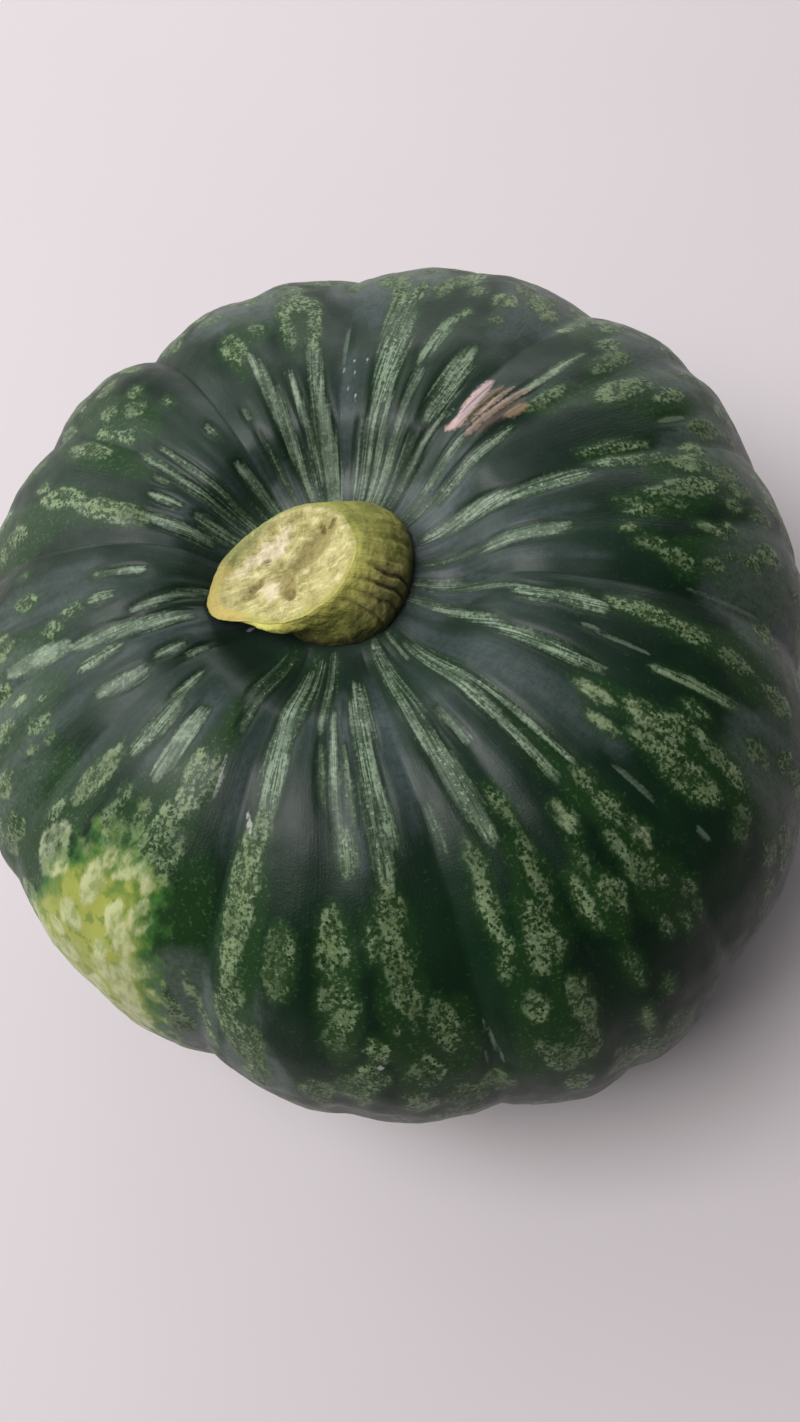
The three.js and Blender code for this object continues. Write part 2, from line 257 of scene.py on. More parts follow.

# Patches of bluish grey on the rind; the last value is its strength. They are partly the rind's
# wax bloom and partly painted light: painted sheen where the rind reflects the bright room,
# painted light in the shaded hollow round the stalk, and painted sheen of grazing light on the
# rims.
BLOOM_AND_SHEEN_PATCHES = (
    ((110, 112), 30, 120, 10, 0.8), ((94, 95), 20, 100, 8, 1.3), (64, 20, 90, 26, 1.4),
    ((128, 130), 30, 130, 8, 0.8), ((155, 158), 30, 120, 9, 0.8), ((-171, -170), 50, 190, 11, 0.9),
    (79, 30, 150, 8, 1.2), (44, 40, 90, 6, 0.7), ((25, 26), 40, 75, 5, 0.3), ((0, 1), 30, 140, 8),
    ((-11, -12), 40, 150, 7, 0.9), ((-29, -33), 50, 130, 6, 0.6), ((-48, -50), 40, 190, 11),
    (-69, 50, 160, 6, 0.8), ((-89, -90), 60, 165, 8), ((-101, -102), 100, 185, 7, 1.2),
    (-112, 80, 145, 4, 0.7), (-127, 70, 200, 6, 0.7), ((-143, -145), 100, 190, 12),
    (76, 30, 65, 34, 2.3), (109, 30, 70, 36, 2.3), ((118, 116), 50, 90, 9, 1.3),
    (99, 50, 95, 6, 1.3), (142, 30, 68, 34, 2.2), (30, 30, 70, 60, 1.9), (-20, 30, 70, 40, 1.7),
    (-172, 140, 340, 14, 0.6), (170, 120, 300, 12, 0.6), (-157, 120, 300, 7, 0.6),
    ((-104, -103), 180, 210, 4, 0.5), ((-116, -117), 310, 360, 5, 0.45), (-12, 260, 440, 24, 0.95),
    (12, 240, 420, 14, 1.1), (-36, 290, 440, 16, 0.75), (-128, 320, 460, 12, 1.3),
    (-117, 380, 460, 10), (-176, 200, 380, 18, 0.8), (-164, 260, 400, 12, 0.7),
    (150, 50, 110, 16, 1.4), (50, 210, 360, 14), (30, 240, 380, 14, 1.1), (75, 210, 340, 20),
    (100, 220, 320, 18, 0.95), (-98, 75, 120, 22, 1.7),
)

# The healed graze, from lilac grey (1.45) over pink (1.3) and tan (0.9) to brown (0.5).
SCARS = (
    ((43.4, 41.4), 98, 108, 3.4, 1.25), ((42.4, 44.2), 106, 146, 3.8, 1.42),
    ((41, 40.6), 114, 146, 1.8, 0.6), ((39.6, 38.6), 106, 150, 1.3, 1.12),
    ((37.4, 35.9), 102, 158, 1.6, 1.12), ((34.8, 34.2), 106, 146, 1.6, 0.45),
    ((33.2, 32.8), 128, 144, 2.8, 0.8),
)

# The corky scar at the blossom end: its radius in millimetres and the tone of its cork, and
# the t from which it is drawn.
BLOSSOM_SCAR = (6.5, 0.75)
BLOSSOM_END = 0.9

# Thin whitish scratches and flecks.
SCRATCHES = (
    ((-131.8, -131.2), 134, 158, 0.45), ((-130.9, -131.1), 150, 170, 0.4),
    ((-123.8, -122.6), 164, 178, 0.8), ((-122.9, -122.2), 170, 180, 1), ((76, 76.4), 104, 109, 0.5),
    ((79.2, 78.9), 112, 117, 0.6), ((77.4, 77.8), 124, 130, 0.5), ((81, 80.6), 130, 136, 0.5),
    ((74.8, 75.2), 136, 142, 0.5), ((78.3, 78.6), 138, 143, 0.5), ((-101.5, -100.7), 362, 367, 0.9),
    ((-162.9, -162.5), 52, 58, 1.6), ((-79.6, -79), 36, 41, 1.6),
)

# The yellowish spot where the fruit lay on the ground: (azimuth, t, half width, half length),
# with its lengths along the rind in t.
GROUND_SPOT = (-141.5, 0.41, 12.0, 0.18)

# How a mark is drawn: the bow of its sides, how blunt its ends are, and the depth, in
# millimetres, of a place far outside it.
MARK_BOW = 0.45
MARK_BLUNTNESS = 0.06
FAR_OUTSIDE = -60.0

# The marks above cover what the photo shows: down to this t at the sides, this much further in
# front and this much less at the back.
SEEN_LIMIT = 0.335
SEEN_LIMIT_SWING = 0.075

# Beyond them blotches are scattered, in columns that many degrees apart and down to that t, with
# a mark at that share of the places; flecks thin out below them.
SCATTER_SEED = 11
SCATTER_STEP = 5.0
SCATTER_END = 0.86
SCATTER_SHARE = 0.86
FLECK_STEP = 9.0
FLECK_LEVELS = (0.86, 0.94)

# ---- Sizes of the stalk, in millimetres (the CAD model's, with finer ridges) ----

STEM_BASE_RADIUS = 14.8
STEM_RIM_RADIUS = 13.1
STEM_FOOT = (SEAT_MIDDLE[0] - 0.2, SEAT_MIDDLE[1] + 0.4, SEAT_HEIGHT + 0.1)
STEM_LEAN = (-8.6, 0.1, 10.6)
STEM_BEND = (0.6, 0.4, 6.7)
CUT_NORMAL = (-0.28, 0.1, 0.955)
LIP_LENGTH = 4.6
LIP_WIDTH = 0.36
LIP_DIRECTION = (-1.0, -0.16, 0.0)
RIM_OVAL = 0.05
FLAT_SIDE = 0.06

# Swellings of the stalk's outline: (turn from the lip in degrees, height, width in radians)
RIM_SHOULDER = (-32.0, 1.9, 0.36)
RIM_FLAT = (-85.0, 0.5, 0.4)
BASE_CORNER = (-150.0, 3.0, 0.6)
CHIN = (42.0, 2.2, 0.40)
FOOT_WAIST = (100.0, 0.3, 0.9)
FOOT_FLARE = 0.1

# The climb at which the chin stands out, and its spread.
CHIN_LEVEL = (0.78, 0.22)

# Ridges of the side, how much the furrows between them show, and its roughness. Noises are
# (height, size, seed), those of the ridges on a ring of that radius.
RIDGE_COUNT = 27
RIDGE_DEPTH = 0.55
FURROW_SHARPNESS = 5
RIDGE_WANDER = (0.09, 9.0, 5)
RIDGE_JITTER = (0.04, 2.5, 12)
FURROW_UNEVENNESS = (0.7, 3.0, 6)
FURROW_SHOW = 0.20
FURROWS_IN_FRONT = (128.0, 1.0, math.radians(30))
NOISE_RADIUS = 8
STEM_KNOBS = (0.30, 4.5, 13)
STEM_GRIT = (0.12, 1.6, 7)

# The cut face: how deep it is dished, recessed, pitted and torn, and how its rim turns over.
CUT_DISH = 1.9
RECESS_DEPTH = 0.8
PIT_DEPTH = 0.5
TEAR_DEPTH = 0.55
RIM_LIFT = 0.3
RIM_ROUNDING = 0.35

# Where the skin begins on the cut face, in shares of its radius, and where it reaches further in.
SKIN_FROM = 0.94
SKIN_AT_SHOULDER = (-45.0, 0.20, 0.65)
SKIN_AT_LIP = (20.0, 0.13, 0.4)
SKIN_IN_FRONT = (100.0, 0.06, 0.7)

# Spots on the cut face, in shares of its radius from its middle: (towards the lip, towards the
# front, half length, half width, turn in degrees).
CUT_RECESSES = ((-0.38, -0.10, 0.55, 0.19, 20.0), (0.17, 0.24, 0.33, 0.15, 82.0))
CUT_PITS = (
    (-0.79, -0.27, 0.09, 0.03, 15.0),
    (-0.62, -0.28, 0.06, 0.04, 60.0),
    (0.19, 0.42, 0.13, 0.07, 80.0),
    (0.46, 0.00, 0.12, 0.04, 20.0),
    (0.56, 0.08, 0.08, 0.06, 10.0),
    (0.30, -0.30, 0.05, 0.03, 20.0),
)
CUT_WHITES = ((0.24, -0.45, 0.50, 0.20, 20.0), (0.38, 0.18, 0.24, 0.09, 60.0))

# Fineness of the stalk's mesh.
STEPS_PER_RIDGE = 12
STEM_ROWS_UP = 64
CUT_ROWS = 76


# ---- Small helpers ----

def smoothstep(x, low, high):
    share = np.clip((x - low) / (high - low), 0.0, 1.0)
    return share * share * (3 - 2 * share)


def bell(distance, width):
    return np.exp(-((distance / width) ** 2))


def unit(vector):
    vector = np.asarray(vector, float)
    return vector / np.linalg.norm(vector)


def field_noise(points, size, seed, octaves=3):
    """Smooth noise from about -1 to 1 at each point, with features of that size, in millimetres."""
    offset = Vector((13.1 * seed, -7.7 * seed, 3.9 * seed))
    values = [
        noise.fractal(Vector(point) / size + offset, 1.0, 2.0, octaves) for point in points
    ]
    return np.array(values)


def lumps(points, height, size, seed):
    """Smooth noise of that height."""
    return height * field_noise(points, size, seed)


def grid_faces(rows, columns):
    """Quads of a closed band of rows of points, each row a full turn of that many columns."""
    row, column = np.meshgrid(np.arange(rows - 1), np.arange(columns), indexing="ij")
    following = (column + 1) % columns
    low, high = row * columns, (row + 1) * columns
    quads = np.stack([low + column, low + following, high + following, high + column], -1)
    return quads.reshape(-1, 4)


def fan_faces(middle, ring_start, columns, reverse):
    """Triangles that close a ring of points on one middle point."""
    column = np.arange(columns)
    following = (column + 1) % columns
    middles = np.full(columns, middle)
    ring = (ring_start + following, ring_start + column)
    if reverse:
        ring = ring[::-1]
    return np.stack([middles, *ring], -1)


def closed_faces(rows, columns, upward):
    """Faces of a band whose rows run up or down, and of its ends, closed by two last points."""
    count = rows * columns
    triangles = np.concatenate(
        [
            fan_faces(count, 0, columns, reverse=not upward),
            fan_faces(count + 1, count - columns, columns, reverse=upward),
        ]
    )
    quads = grid_faces(rows, columns)
    return triangles, quads if upward else quads[:, ::-1]


def add_fields(mesh, fields):
    """A float attribute on the mesh's points for each field, or a vector one."""
    for field, values in fields.items():
        values = np.asarray(values, np.float32)
        if values.ndim == 2:
            layer = mesh.attributes.new(field, "FLOAT_VECTOR", "POINT")
            layer.data.foreach_set("vector", values.ravel())
        else:
            layer = mesh.attributes.new(field, "FLOAT", "POINT")
            layer.data.foreach_set("value", values)


def make_mesh_object(name, points_mm, faces, shift_mm, fields):
    """A smooth mesh object in the frame, with those fields on its points."""
    triangles, quads = faces
    points = (points_mm + shift_mm) * MM
    mesh = bpy.data.meshes.new(name)
    mesh.vertices.add(len(points))
    mesh.vertices.foreach_set("co", points.astype(np.float32).ravel())
    corners = np.concatenate([triangles.ravel(), quads.ravel()])
    sizes = np.concatenate([np.full(len(triangles), 3), np.full(len(quads), 4)])
    starts = np.concatenate([[0], np.cumsum(sizes)[:-1]])
    mesh.loops.add(len(corners))
    mesh.loops.foreach_set("vertex_index", corners.astype(np.int32))
    mesh.polygons.add(len(sizes))
    mesh.polygons.foreach_set("loop_start", starts.astype(np.int32))
    mesh.update(calc_edges=True)
    mesh.validate()
    mesh.shade_smooth()
    add_fields(mesh, fields)
    piece = bpy.data.objects.new(name, mesh)
    bpy.context.scene.collection.objects.link(piece)
    return piece


# ---- The fruit's shape ----

GROOVE_AZIMUTHS = np.radians([groove[0] for groove in GROOVES])
GROOVE_DEPTHS = np.array([groove[1] for groove in GROOVES])
FOLD_DEPTHS = np.array([groove[2] for groove in GROOVES])
NEXT_AZIMUTHS = np.append(GROOVE_AZIMUTHS[1:], GROOVE_AZIMUTHS[0] + TAU)


def outline(t):
    """Radius and height of the fruit's outline."""
    sine, cosine = np.sin(np.pi * t), np.cos(np.pi * t)
    radius = BODY_RADIUS * np.abs(sine) ** (2 / SQUARENESS)
    dome = np.sign(cosine) * SHOULDER_HEIGHT * np.abs(cosine) ** (2 / SQUARENESS)
    below = dome + DIMPLE_DEPTH * bell(radius, DIMPLE_RADIUS)
    hollow = dome - HOLLOW_DEPTH * bell(radius, HOLLOW_RADIUS)
    out_of_seat = smoothstep(radius, SEAT_RADIUS, SEAT_BLEND_RADIUS)
    above = SEAT_HEIGHT + (hollow - SEAT_HEIGHT) * out_of_seat
    return radius, np.where(cosine < 0, below, above)


def outline_normal(t):
    step = 0.002
    radius_before, height_before = outline(np.maximum(t - step, 0))
    radius_after, height_after = outline(np.minimum(t + step, 1))
    radial, vertical = height_before - height_after, radius_after - radius_before
    length = np.hypot(radial, vertical)
    return radial / length, vertical / length


def plan_factor(azimuth):
    waves = [c * np.cos(n * azimuth) + s * np.sin(n * azimuth) for n, c, s in PLAN_WAVES]
    return 1 + sum(waves)


def lobe_strength(t):
    risen = LOBE_RISE_START + (1 - LOBE_RISE_START) * smoothstep(t, *LOBE_RISE)
    return risen * (1 - smoothstep(t, *LOBE_FALL))


def lobe_and_share(lobe_position):
    """Which lobe a place lies on, and its share of the way across it."""
    whole = np.floor(lobe_position)
    return whole.astype(int) % len(GROOVES), lobe_position - whole


def lobe_relief(lobe_position):
    """Height of the lobes over the mean outline; lobe_position counts lobes round the fruit."""
    lobe, across = lobe_and_share(lobe_position)
    left, right = GROOVE_DEPTHS[lobe], np.roll(GROOVE_DEPTHS, -1)[lobe]
    from_crown = np.abs(2 * across - 1)
    groove = (left * (1 - across) + right * across) * from_crown**GROOVE_SHARPNESS
    return LOBE_SWELL - groove - FOLD_DEPTHS[lobe] * bell(across - 0.5, FOLD_WIDTH)


def azimuth_of(lobe_position):
    lobe, across = lobe_and_share(lobe_position)
    return GROOVE_AZIMUTHS[lobe] + across * (NEXT_AZIMUTHS[lobe] - GROOVE_AZIMUTHS[lobe])


def rind_points(lobe_position, t, extra_relief=0.0):
    """Points of the rind for arrays of places on it."""
    azimuth = azimuth_of(lobe_position)
    radius, height = outline(t)
    radial, vertical = outline_normal(t)
    relief = lobe_relief(lobe_position) * lobe_strength(t) * (radius > SEAT_RADIUS) + extra_relief
    plan = 1 + (plan_factor(azimuth) - 1) * radius / BODY_RADIUS
    reach = (radius + relief * radial) * plan
    seat_share = 1 - smoothstep(t, 0, SEAT_SHIFT_END)
    return np.stack(
        [
            reach * np.cos(azimuth) + SEAT_MIDDLE[0] * seat_share,
            reach * np.sin(azimuth) + SEAT_MIDDLE[1] * seat_share,
            np.maximum(height + relief * vertical, REST_LEVEL),
        ],
        -1,
    )


def place_in_frame():
    """The shift from the fruit's own middle to the frame, from the box of its CAD solid."""
    steps = np.arange(len(GROOVES) * CAD_STEPS_PER_LOBE) / CAD_STEPS_PER_LOBE
    grids = np.meshgrid(steps, np.linspace(*CAD_LEVELS))
    lobe_position, t = [grid.ravel() for grid in grids]
    points = rind_points(lobe_position, t)
    low, high = [np.array(corner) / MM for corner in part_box("squash_body")]
    middle = (low + high) / 2 - (points.min(0) + points.max(0)) / 2
    return np.array([middle[0], middle[1], low[2] - REST_LEVEL])


def even_levels(rows):
    """Levels t from the first row below the stalk to the last above the blossom end."""
    t = np.linspace(0, 1, 4001)
    radius, height = outline(t)
    steps = np.hypot(np.diff(radius), np.diff(height))
    closeness = np.where(t[1:] < 0.5, ROWS_ABOVE, ROWS_BELOW)
    path = np.concatenate([[0], np.cumsum(steps * closeness)])
    return np.interp(np.linspace(0, path[-1], rows + 2)[1:-1], path, t)


# ---- Marks as fields on the rind ----

ARC_LEVELS = np.linspace(0, 1, 2001)
ARC_LENGTHS = np.concatenate(
    [[0], np.cumsum(np.hypot(*[np.diff(line) for line in outline(ARC_LEVELS)]))]
)


def travelled(t):
    """Millimetres along the outline from the stalk down to t."""
    return np.interp(t, ARC_LEVELS, ARC_LENGTHS)


def turn_between(azimuth, other):
    """Signed difference of two azimuths, in degrees, the short way round."""
    return (azimuth - other + 180) % 360 - 180


def marks_from(rows):
    """Full marks, (azimuth from, azimuth to, t from, t to, width, paleness), from those rows."""
    marks = []
    for azimuth, t_from, t_to, width, *paleness in rows:
        azimuths = azimuth if isinstance(azimuth, tuple) else (azimuth, azimuth)
        marks.append((*azimuths, t_from / 1000, t_to / 1000, width, *(paleness or [1.0])))
    return marks


def mark_depth(azimuth, t, azimuth_from, azimuth_to, t_from, t_to, width):
    """How far inside a mark each place lies, in millimetres; outside it is negative."""
    share = np.clip((t - t_from) / (t_to - t_from), 0, 1)
    middle_radius = outline(np.array((t_from + t_to) / 2))[0]
    reach = math.radians(1) * outline(t)[0]
    centre = azimuth_from + share * turn_between(azimuth_to, azimuth_from)
    across = np.abs(turn_between(azimuth, centre)) * reach
    half_width = 0.5 * width * math.radians(1) * middle_radius
    along = np.clip(MARK_BLUNTNESS + (1 - 2 * MARK_BLUNTNESS) * share, 0, 1)
    taper = np.sin(np.pi * along) ** MARK_BOW
    past_end = travelled(np.maximum(t_from - t, t - t_to).clip(0) + t) - travelled(t)
    return half_width * taper - np.hypot(across, past_end)


def deepest(azimuth, t, marks):
    """The depth of each place in the mark that holds it best, and that mark's paleness."""
    depth = np.full(len(t), FAR_OUTSIDE)
    paleness = np.ones(len(t))
    for *mark, tone in marks:
        inside = mark_depth(azimuth, t, *mark)
        paleness = np.where(inside > depth, tone, paleness)
        depth = np.maximum(depth, inside)
    return depth, paleness


def seen_limit(azimuth):
    """The t beyond which the marks above give way to scattered ones."""
    return SEEN_LIMIT - SEEN_LIMIT_SWING * math.sin(math.radians(azimuth))


def blotch_column(azimuth, draw):
    """Scattered blotches below one place on the limit, down to where they end."""
    marks = []
    t = seen_limit(azimuth) + draw.uniform(0.0, 0.04)
    while t < SCATTER_END:
        fading = 1 - 0.55 * smoothstep(t, 0.6, SCATTER_END)
        length = draw.uniform(0.016, 0.055) * fading
        centre = azimuth + draw.uniform(-2.2, 2.2)
        width = draw.uniform(2.0, 5.0) * fading / max(math.sin(math.pi * t), 0.4)
        if draw.uniform() < SCATTER_SHARE:
            drift = draw.uniform(-1.0, 1.0)
            paleness = draw.uniform(0.55, 1.15)
            marks.append((centre, centre + drift, t, t + length, width, paleness))
        t += length + draw.uniform(0.006, 0.032)
    return marks


def scattered_blotches():
    """Blotches of the same kind for the lower half and the back, and flecks further down."""
    draw = np.random.default_rng(SCATTER_SEED)
    marks = []
    for azimuth in np.arange(-180, 180, SCATTER_STEP):
        marks += blotch_column(azimuth, draw)
    for azimuth in np.arange(-180, 180, FLECK_STEP):
        centre = azimuth + draw.uniform(-3.0, 3.0)
        t = draw.uniform(*FLECK_LEVELS)
        length = draw.uniform(0.006, 0.018)
        marks.append((centre, centre, t, t + length, draw.uniform(4.0, 8.0), 0.7))
    return marks


def ground_spot_field(azimuth, t):
    """1 in the middle of the ground spot and 0 at its edge, then negative."""
    centre, level, half_width, half_length = GROUND_SPOT
    across = turn_between(azimuth, centre) / half_width
    along = (t - level) / half_length
    return 1 - np.hypot(across, along)


def rind_fields(azimuth, t):
    """What the rind's material reads at each place: depths in the marks, palenesses and more."""
    place = np.degrees(azimuth)
    kinds = {
        "streak": marks_from(STREAKS),
        "blotch": marks_from(BLOTCHES) + scattered_blotches(),
        "shade": marks_from(SHADES),
        "bloom_and_sheen": marks_from(BLOOM_AND_SHEEN_PATCHES),
        "thread": marks_from(THREADS),
        "scar": marks_from(SCARS),
        "scratch": marks_from(SCRATCHES),
    }
    fields, paleness = {}, {}
    for kind, marks in kinds.items():
        fields[kind], paleness[kind] = deepest(place, t, marks)

    blossom_radius, blossom_tone = BLOSSOM_SCAR
    blossom = np.where(t > BLOSSOM_END, blossom_radius - outline(t)[0], FAR_OUTSIDE)
    paleness["scar"] = np.where(blossom > fields["scar"], blossom_tone, paleness["scar"])
    fields["scar"] = np.maximum(fields["scar"], blossom)

    # The bloom field holds wax bloom together with painted sheen and painted light.
    fields["bloom_and_sheen"] = smoothstep(fields["bloom_and_sheen"], -4.0, 3.5) * paleness["bloom_and_sheen"]
    for kind in ("streak", "blotch", "scar"):
        fields[kind + "_paleness"] = paleness[kind]
    fields["ground"] = ground_spot_field(place, t)
    fields["level"] = t
    fields["grain"] = np.stack([np.cos(azimuth), np.sin(azimuth), t], -1)
    return fields


def fine_rind_relief(fields, smooth):
    """Lumps of the skin and the relief of its marks, in millimetres."""
    t, streak = fields["level"], fields["streak"]
    skin = lumps(smooth, *BROAD_LUMPS) + lumps(smooth, *SMALL_LUMPS)
    pleats = -PLEAT_DEPTH * smoothstep(streak, -1.0, 1.2)
    pleats -= PLEAT_EDGE_DEPTH * bell(streak + 0.5, 0.5)
    pleats *= 1 - smoothstep(t, *PLEATS_END)
    swelling = BLOTCH_SWELL * smoothstep(fields["blotch"], -0.5, 1.0)
    cork = smoothstep(fields["scar"], -0.6, 0.5) * (CORK_HEIGHT + lumps(smooth, *CORK_GRAIN))
    furrow = -THREAD_DEPTH * bell(fields["thread"] + 0.2, 0.7)
    open_rind = smoothstep(t, *RELIEF_START) * (1 - smoothstep(t, *RELIEF_END))
    return (skin + pleats + swelling + cork + furrow) * open_rind


def make_fruit(shift):
    columns = len(GROOVES) * STEPS_PER_LOBE
    turn = np.arange(columns) / STEPS_PER_LOBE
    grids = np.meshgrid(even_levels(RIND_ROWS), turn, indexing="ij")
    t = np.append(grids[0], [0.0, 1.0])
    lobe_position = np.append(grids[1], [0.0, 0.0])
    fields = rind_fields(azimuth_of(lobe_position), t)
    relief = fine_rind_relief(fields, rind_points(lobe_position, t))
    points = rind_points(lobe_position, t, relief)
    faces = closed_faces(RIND_ROWS, columns, upward=False)
    return make_mesh_object("fruit", points, faces, shift, fields)


# ---- The stalk's shape ----

def swell(turn, degrees, height, width):
    """A swelling of the outline round the turn of that many degrees."""
    from_middle = (turn - math.radians(degrees) + math.pi) % TAU - math.pi
    return height * bell(from_middle, width)


def stem_axes(climb):
    """The stalk's middle line, its direction there, and the directions of the lip and the front."""
    foot = np.array(STEM_FOOT)
    bend, top = foot + STEM_BEND, foot + STEM_LEAN
    up = np.array([0.0, 0.0, 1.0])
    c = climb[:, None]
    middle = (1 - c) ** 2 * foot + 2 * c * (1 - c) * bend + c**2 * top
    normal = (1 - c) * up + c * unit(CUT_NORMAL)
    normal /= np.linalg.norm(normal, axis=1, keepdims=True)
    lip_direction = unit(LIP_DIRECTION)
    to_lip = lip_direction - normal * (normal @ lip_direction)[:, None]
    to_lip /= np.linalg.norm(to_lip, axis=1, keepdims=True)
    return middle, normal, to_lip, np.cross(normal, to_lip)


def stem_radius(turn, climb):
    """The stalk's own radius, without its ridges and knobs."""
    from_lip = np.arctan2(np.sin(turn), np.cos(turn))
    rim = STEM_RIM_RADIUS * (1 + RIM_OVAL * np.cos(2 * turn))
    rim += LIP_LENGTH * bell(from_lip, LIP_WIDTH)
    rim += swell(turn, *RIM_SHOULDER)
    rim -= swell(turn, *RIM_FLAT)
    to_rim = smoothstep(climb, 0, 1)
    base = STEM_BASE_RADIUS * (1 - FLAT_SIDE * smoothstep(-np.cos(turn), 0.1, 0.9))
    base += swell(turn, *BASE_CORNER)
    chin_climb, chin_spread = CHIN_LEVEL
    chin = swell(turn, *CHIN) * bell(climb - chin_climb, chin_spread)
    chin *= 1 - smoothstep(climb, 0.90, 1.0)
    return base * (1 - to_rim) + rim * to_rim + chin


def stem_points(turn, climb, share, radius_gain, along_gain):
    """Points of the stalk: climb runs from its foot to the cut, share from the middle out."""
    middle, normal, to_lip, to_front = stem_axes(climb)
    radius = share * (stem_radius(turn, climb) + radius_gain)
    return (
        middle
        + to_lip * (radius * np.cos(turn))[:, None]
        + to_front * (radius * np.sin(turn))[:, None]
        + normal * along_gain[:, None]
    )


def stalk_grid(columns):
    """Turn, climb and share of each point, and 1 on the cut face; the two middles come last."""
    turn_row = np.arange(columns) / columns * TAU
    climb_rows = np.concatenate([np.linspace(0, 1, STEM_ROWS_UP), np.ones(CUT_ROWS)])
    cut_shares = np.linspace(1, 0, CUT_ROWS + 2)[1:-1]
    share_rows = np.concatenate([np.ones(STEM_ROWS_UP), cut_shares])
    climb, turn = np.meshgrid(climb_rows, turn_row, indexing="ij")
    share = np.repeat(share_rows, columns)
    on_cut = np.append(share < 1, [False, True]).astype(float)
    turn, share = np.append(turn, [0.0, 0.0]), np.append(share, [0.0, 0.0])
    return turn, np.append(climb, [0.0, 1.0]), share, on_cut


def side_relief(turn, climb, smooth):
    """How much each furrow of the side shows, and its relief in millimetres."""
    ring = [NOISE_RADIUS * np.cos(turn), NOISE_RADIUS * np.sin(turn), np.zeros(len(turn))]
    round_stalk = np.stack(ring, -1)
    wander = lumps(smooth, *RIDGE_WANDER) + lumps(round_stalk, *RIDGE_JITTER)
    furrow = np.abs(np.cos(RIDGE_COUNT * (turn + wander) / 2)) ** FURROW_SHARPNESS
    uneven = FURROW_SHOW + swell(turn, *FURROWS_IN_FRONT)
    uneven = np.clip(uneven + lumps(round_stalk, *FURROW_UNEVENNESS), 0.1, 1.5)
    in_middle = smoothstep(climb, 0.02, 0.25) * (1 - 0.8 * smoothstep(climb, 0.65, 1.0))
    flare = (FOOT_FLARE - swell(turn, *FOOT_WAIST)) * bell(climb, 0.3)
    knobs = lumps(smooth, *STEM_KNOBS) + lumps(smooth, *STEM_GRIT)
    return furrow * uneven, flare + knobs - RIDGE_DEPTH * furrow * uneven * in_middle


def cut_relief(share, smooth, recess, pit):
    """Relief of the cut face, in millimetres: dished and torn inside a raised rim."""
    dish = -CUT_DISH * (1 - share**2.2) - RECESS_DEPTH * smoothstep(recess, -0.3, 0.6)
    dish -= PIT_DEPTH * smoothstep(pit, -0.4, 0.5)
    rim_lift = RIM_LIFT * bell(share - 0.88, 0.08)
    torn = TEAR_DEPTH * field_noise(smooth, 3.0, 8, octaves=5)
    return dish + rim_lift + torn * (1 - share**8)


def spot_depth(face, spots):
    """1 in the middle of an oval spot, 0 at its edge and negative outside them all."""
    depth = np.full(len(face[0]), -9.0)
    for to_lip, to_front, half_length, half_width, turned in spots:
        cosine, sine = math.cos(math.radians(turned)), math.sin(math.radians(turned))
        x, y = face[0] - to_lip, face[1] - to_front
        along, across = x * cosine + y * sine, y * cosine - x * sine
        depth = np.maximum(depth, 1 - np.hypot(along / half_length, across / half_width))
    return depth


def skin_start(turn):
    """The share of the radius at which skin borders the cut face."""
    start = SKIN_FROM - swell(turn, *SKIN_AT_SHOULDER)
    return start - (swell(turn, *SKIN_AT_LIP) + swell(turn, *SKIN_IN_FRONT))


def make_stalk(shift):
    columns = RIDGE_COUNT * STEPS_PER_RIDGE
    turn, climb, share, on_cut = stalk_grid(columns)
    flat = np.zeros(len(turn))
    smooth = stem_points(turn, climb, share, flat, flat)
    face = (share * np.cos(turn), share * np.sin(turn))
    recess, pit = spot_depth(face, CUT_RECESSES), spot_depth(face, CUT_PITS)

    furrow, relief = side_relief(turn, climb, smooth)
    radius_gain = relief * (1 - on_cut) + lumps(smooth, *STEM_KNOBS) * on_cut
    along_gain = cut_relief(share, smooth, recess, pit) * on_cut
    along_gain -= RIM_ROUNDING * smoothstep(share, 0.93, 1.0) * smoothstep(climb, 0.93, 1.0)
    points = stem_points(turn, climb, share, radius_gain, along_gain)
    points[-2] = STEM_FOOT

    fields = {
        "cut": on_cut,
        "climb": climb,
        "furrow": furrow * (1 - on_cut),
        "pit": pit,
        "recess": recess,
        "white": spot_depth(face, CUT_WHITES),
        "skin": share - skin_start(turn),
        "front": np.sin(turn),
        "brown": swell(turn, *FURROWS_IN_FRONT),
        "lip": np.cos(turn),
        "turn": np.stack([np.cos(turn), np.sin(turn), climb * 0.25], -1),
    }
    faces = closed_faces(STEM_ROWS_UP + CUT_ROWS, columns, upward=True)
    return make_mesh_object("stalk_stub", points, faces, shift, fields)


# ---- Materials: colours are linear red, green and blue ----

DEEP_GREENS = ((0.0038, 0.0160, 0.0066), (0.0076, 0.0268, 0.0106))
# Greys of wax bloom by the stalk and in the patches, partly painted sheen; the palest of the three
# is painted light in the shaded hollow round the stalk, partly thick bloom.
WAX_AND_SHEEN_GREY = (0.020, 0.033, 0.031)
BLOOM_AND_SHEEN_GREY = (0.045, 0.065, 0.065)
FROST_AND_HOLLOW_LIGHT_GREY = (0.145, 0.166, 0.168)
FLECK_GREY = (0.045, 0.066, 0.050)
HALO_GREENS = ((0.0125, 0.0400, 0.0100), (0.048, 0.100, 0.036))
# Painted sheen of grazing light on the rims, with some bloom.
RIM_BLOOM_AND_SHEEN_GREY = (0.090, 0.120, 0.098)
# Painted shade in the creases beside the streaks near the stalk.
CREASE_SHADE = (0.0045, 0.0095, 0.0065)

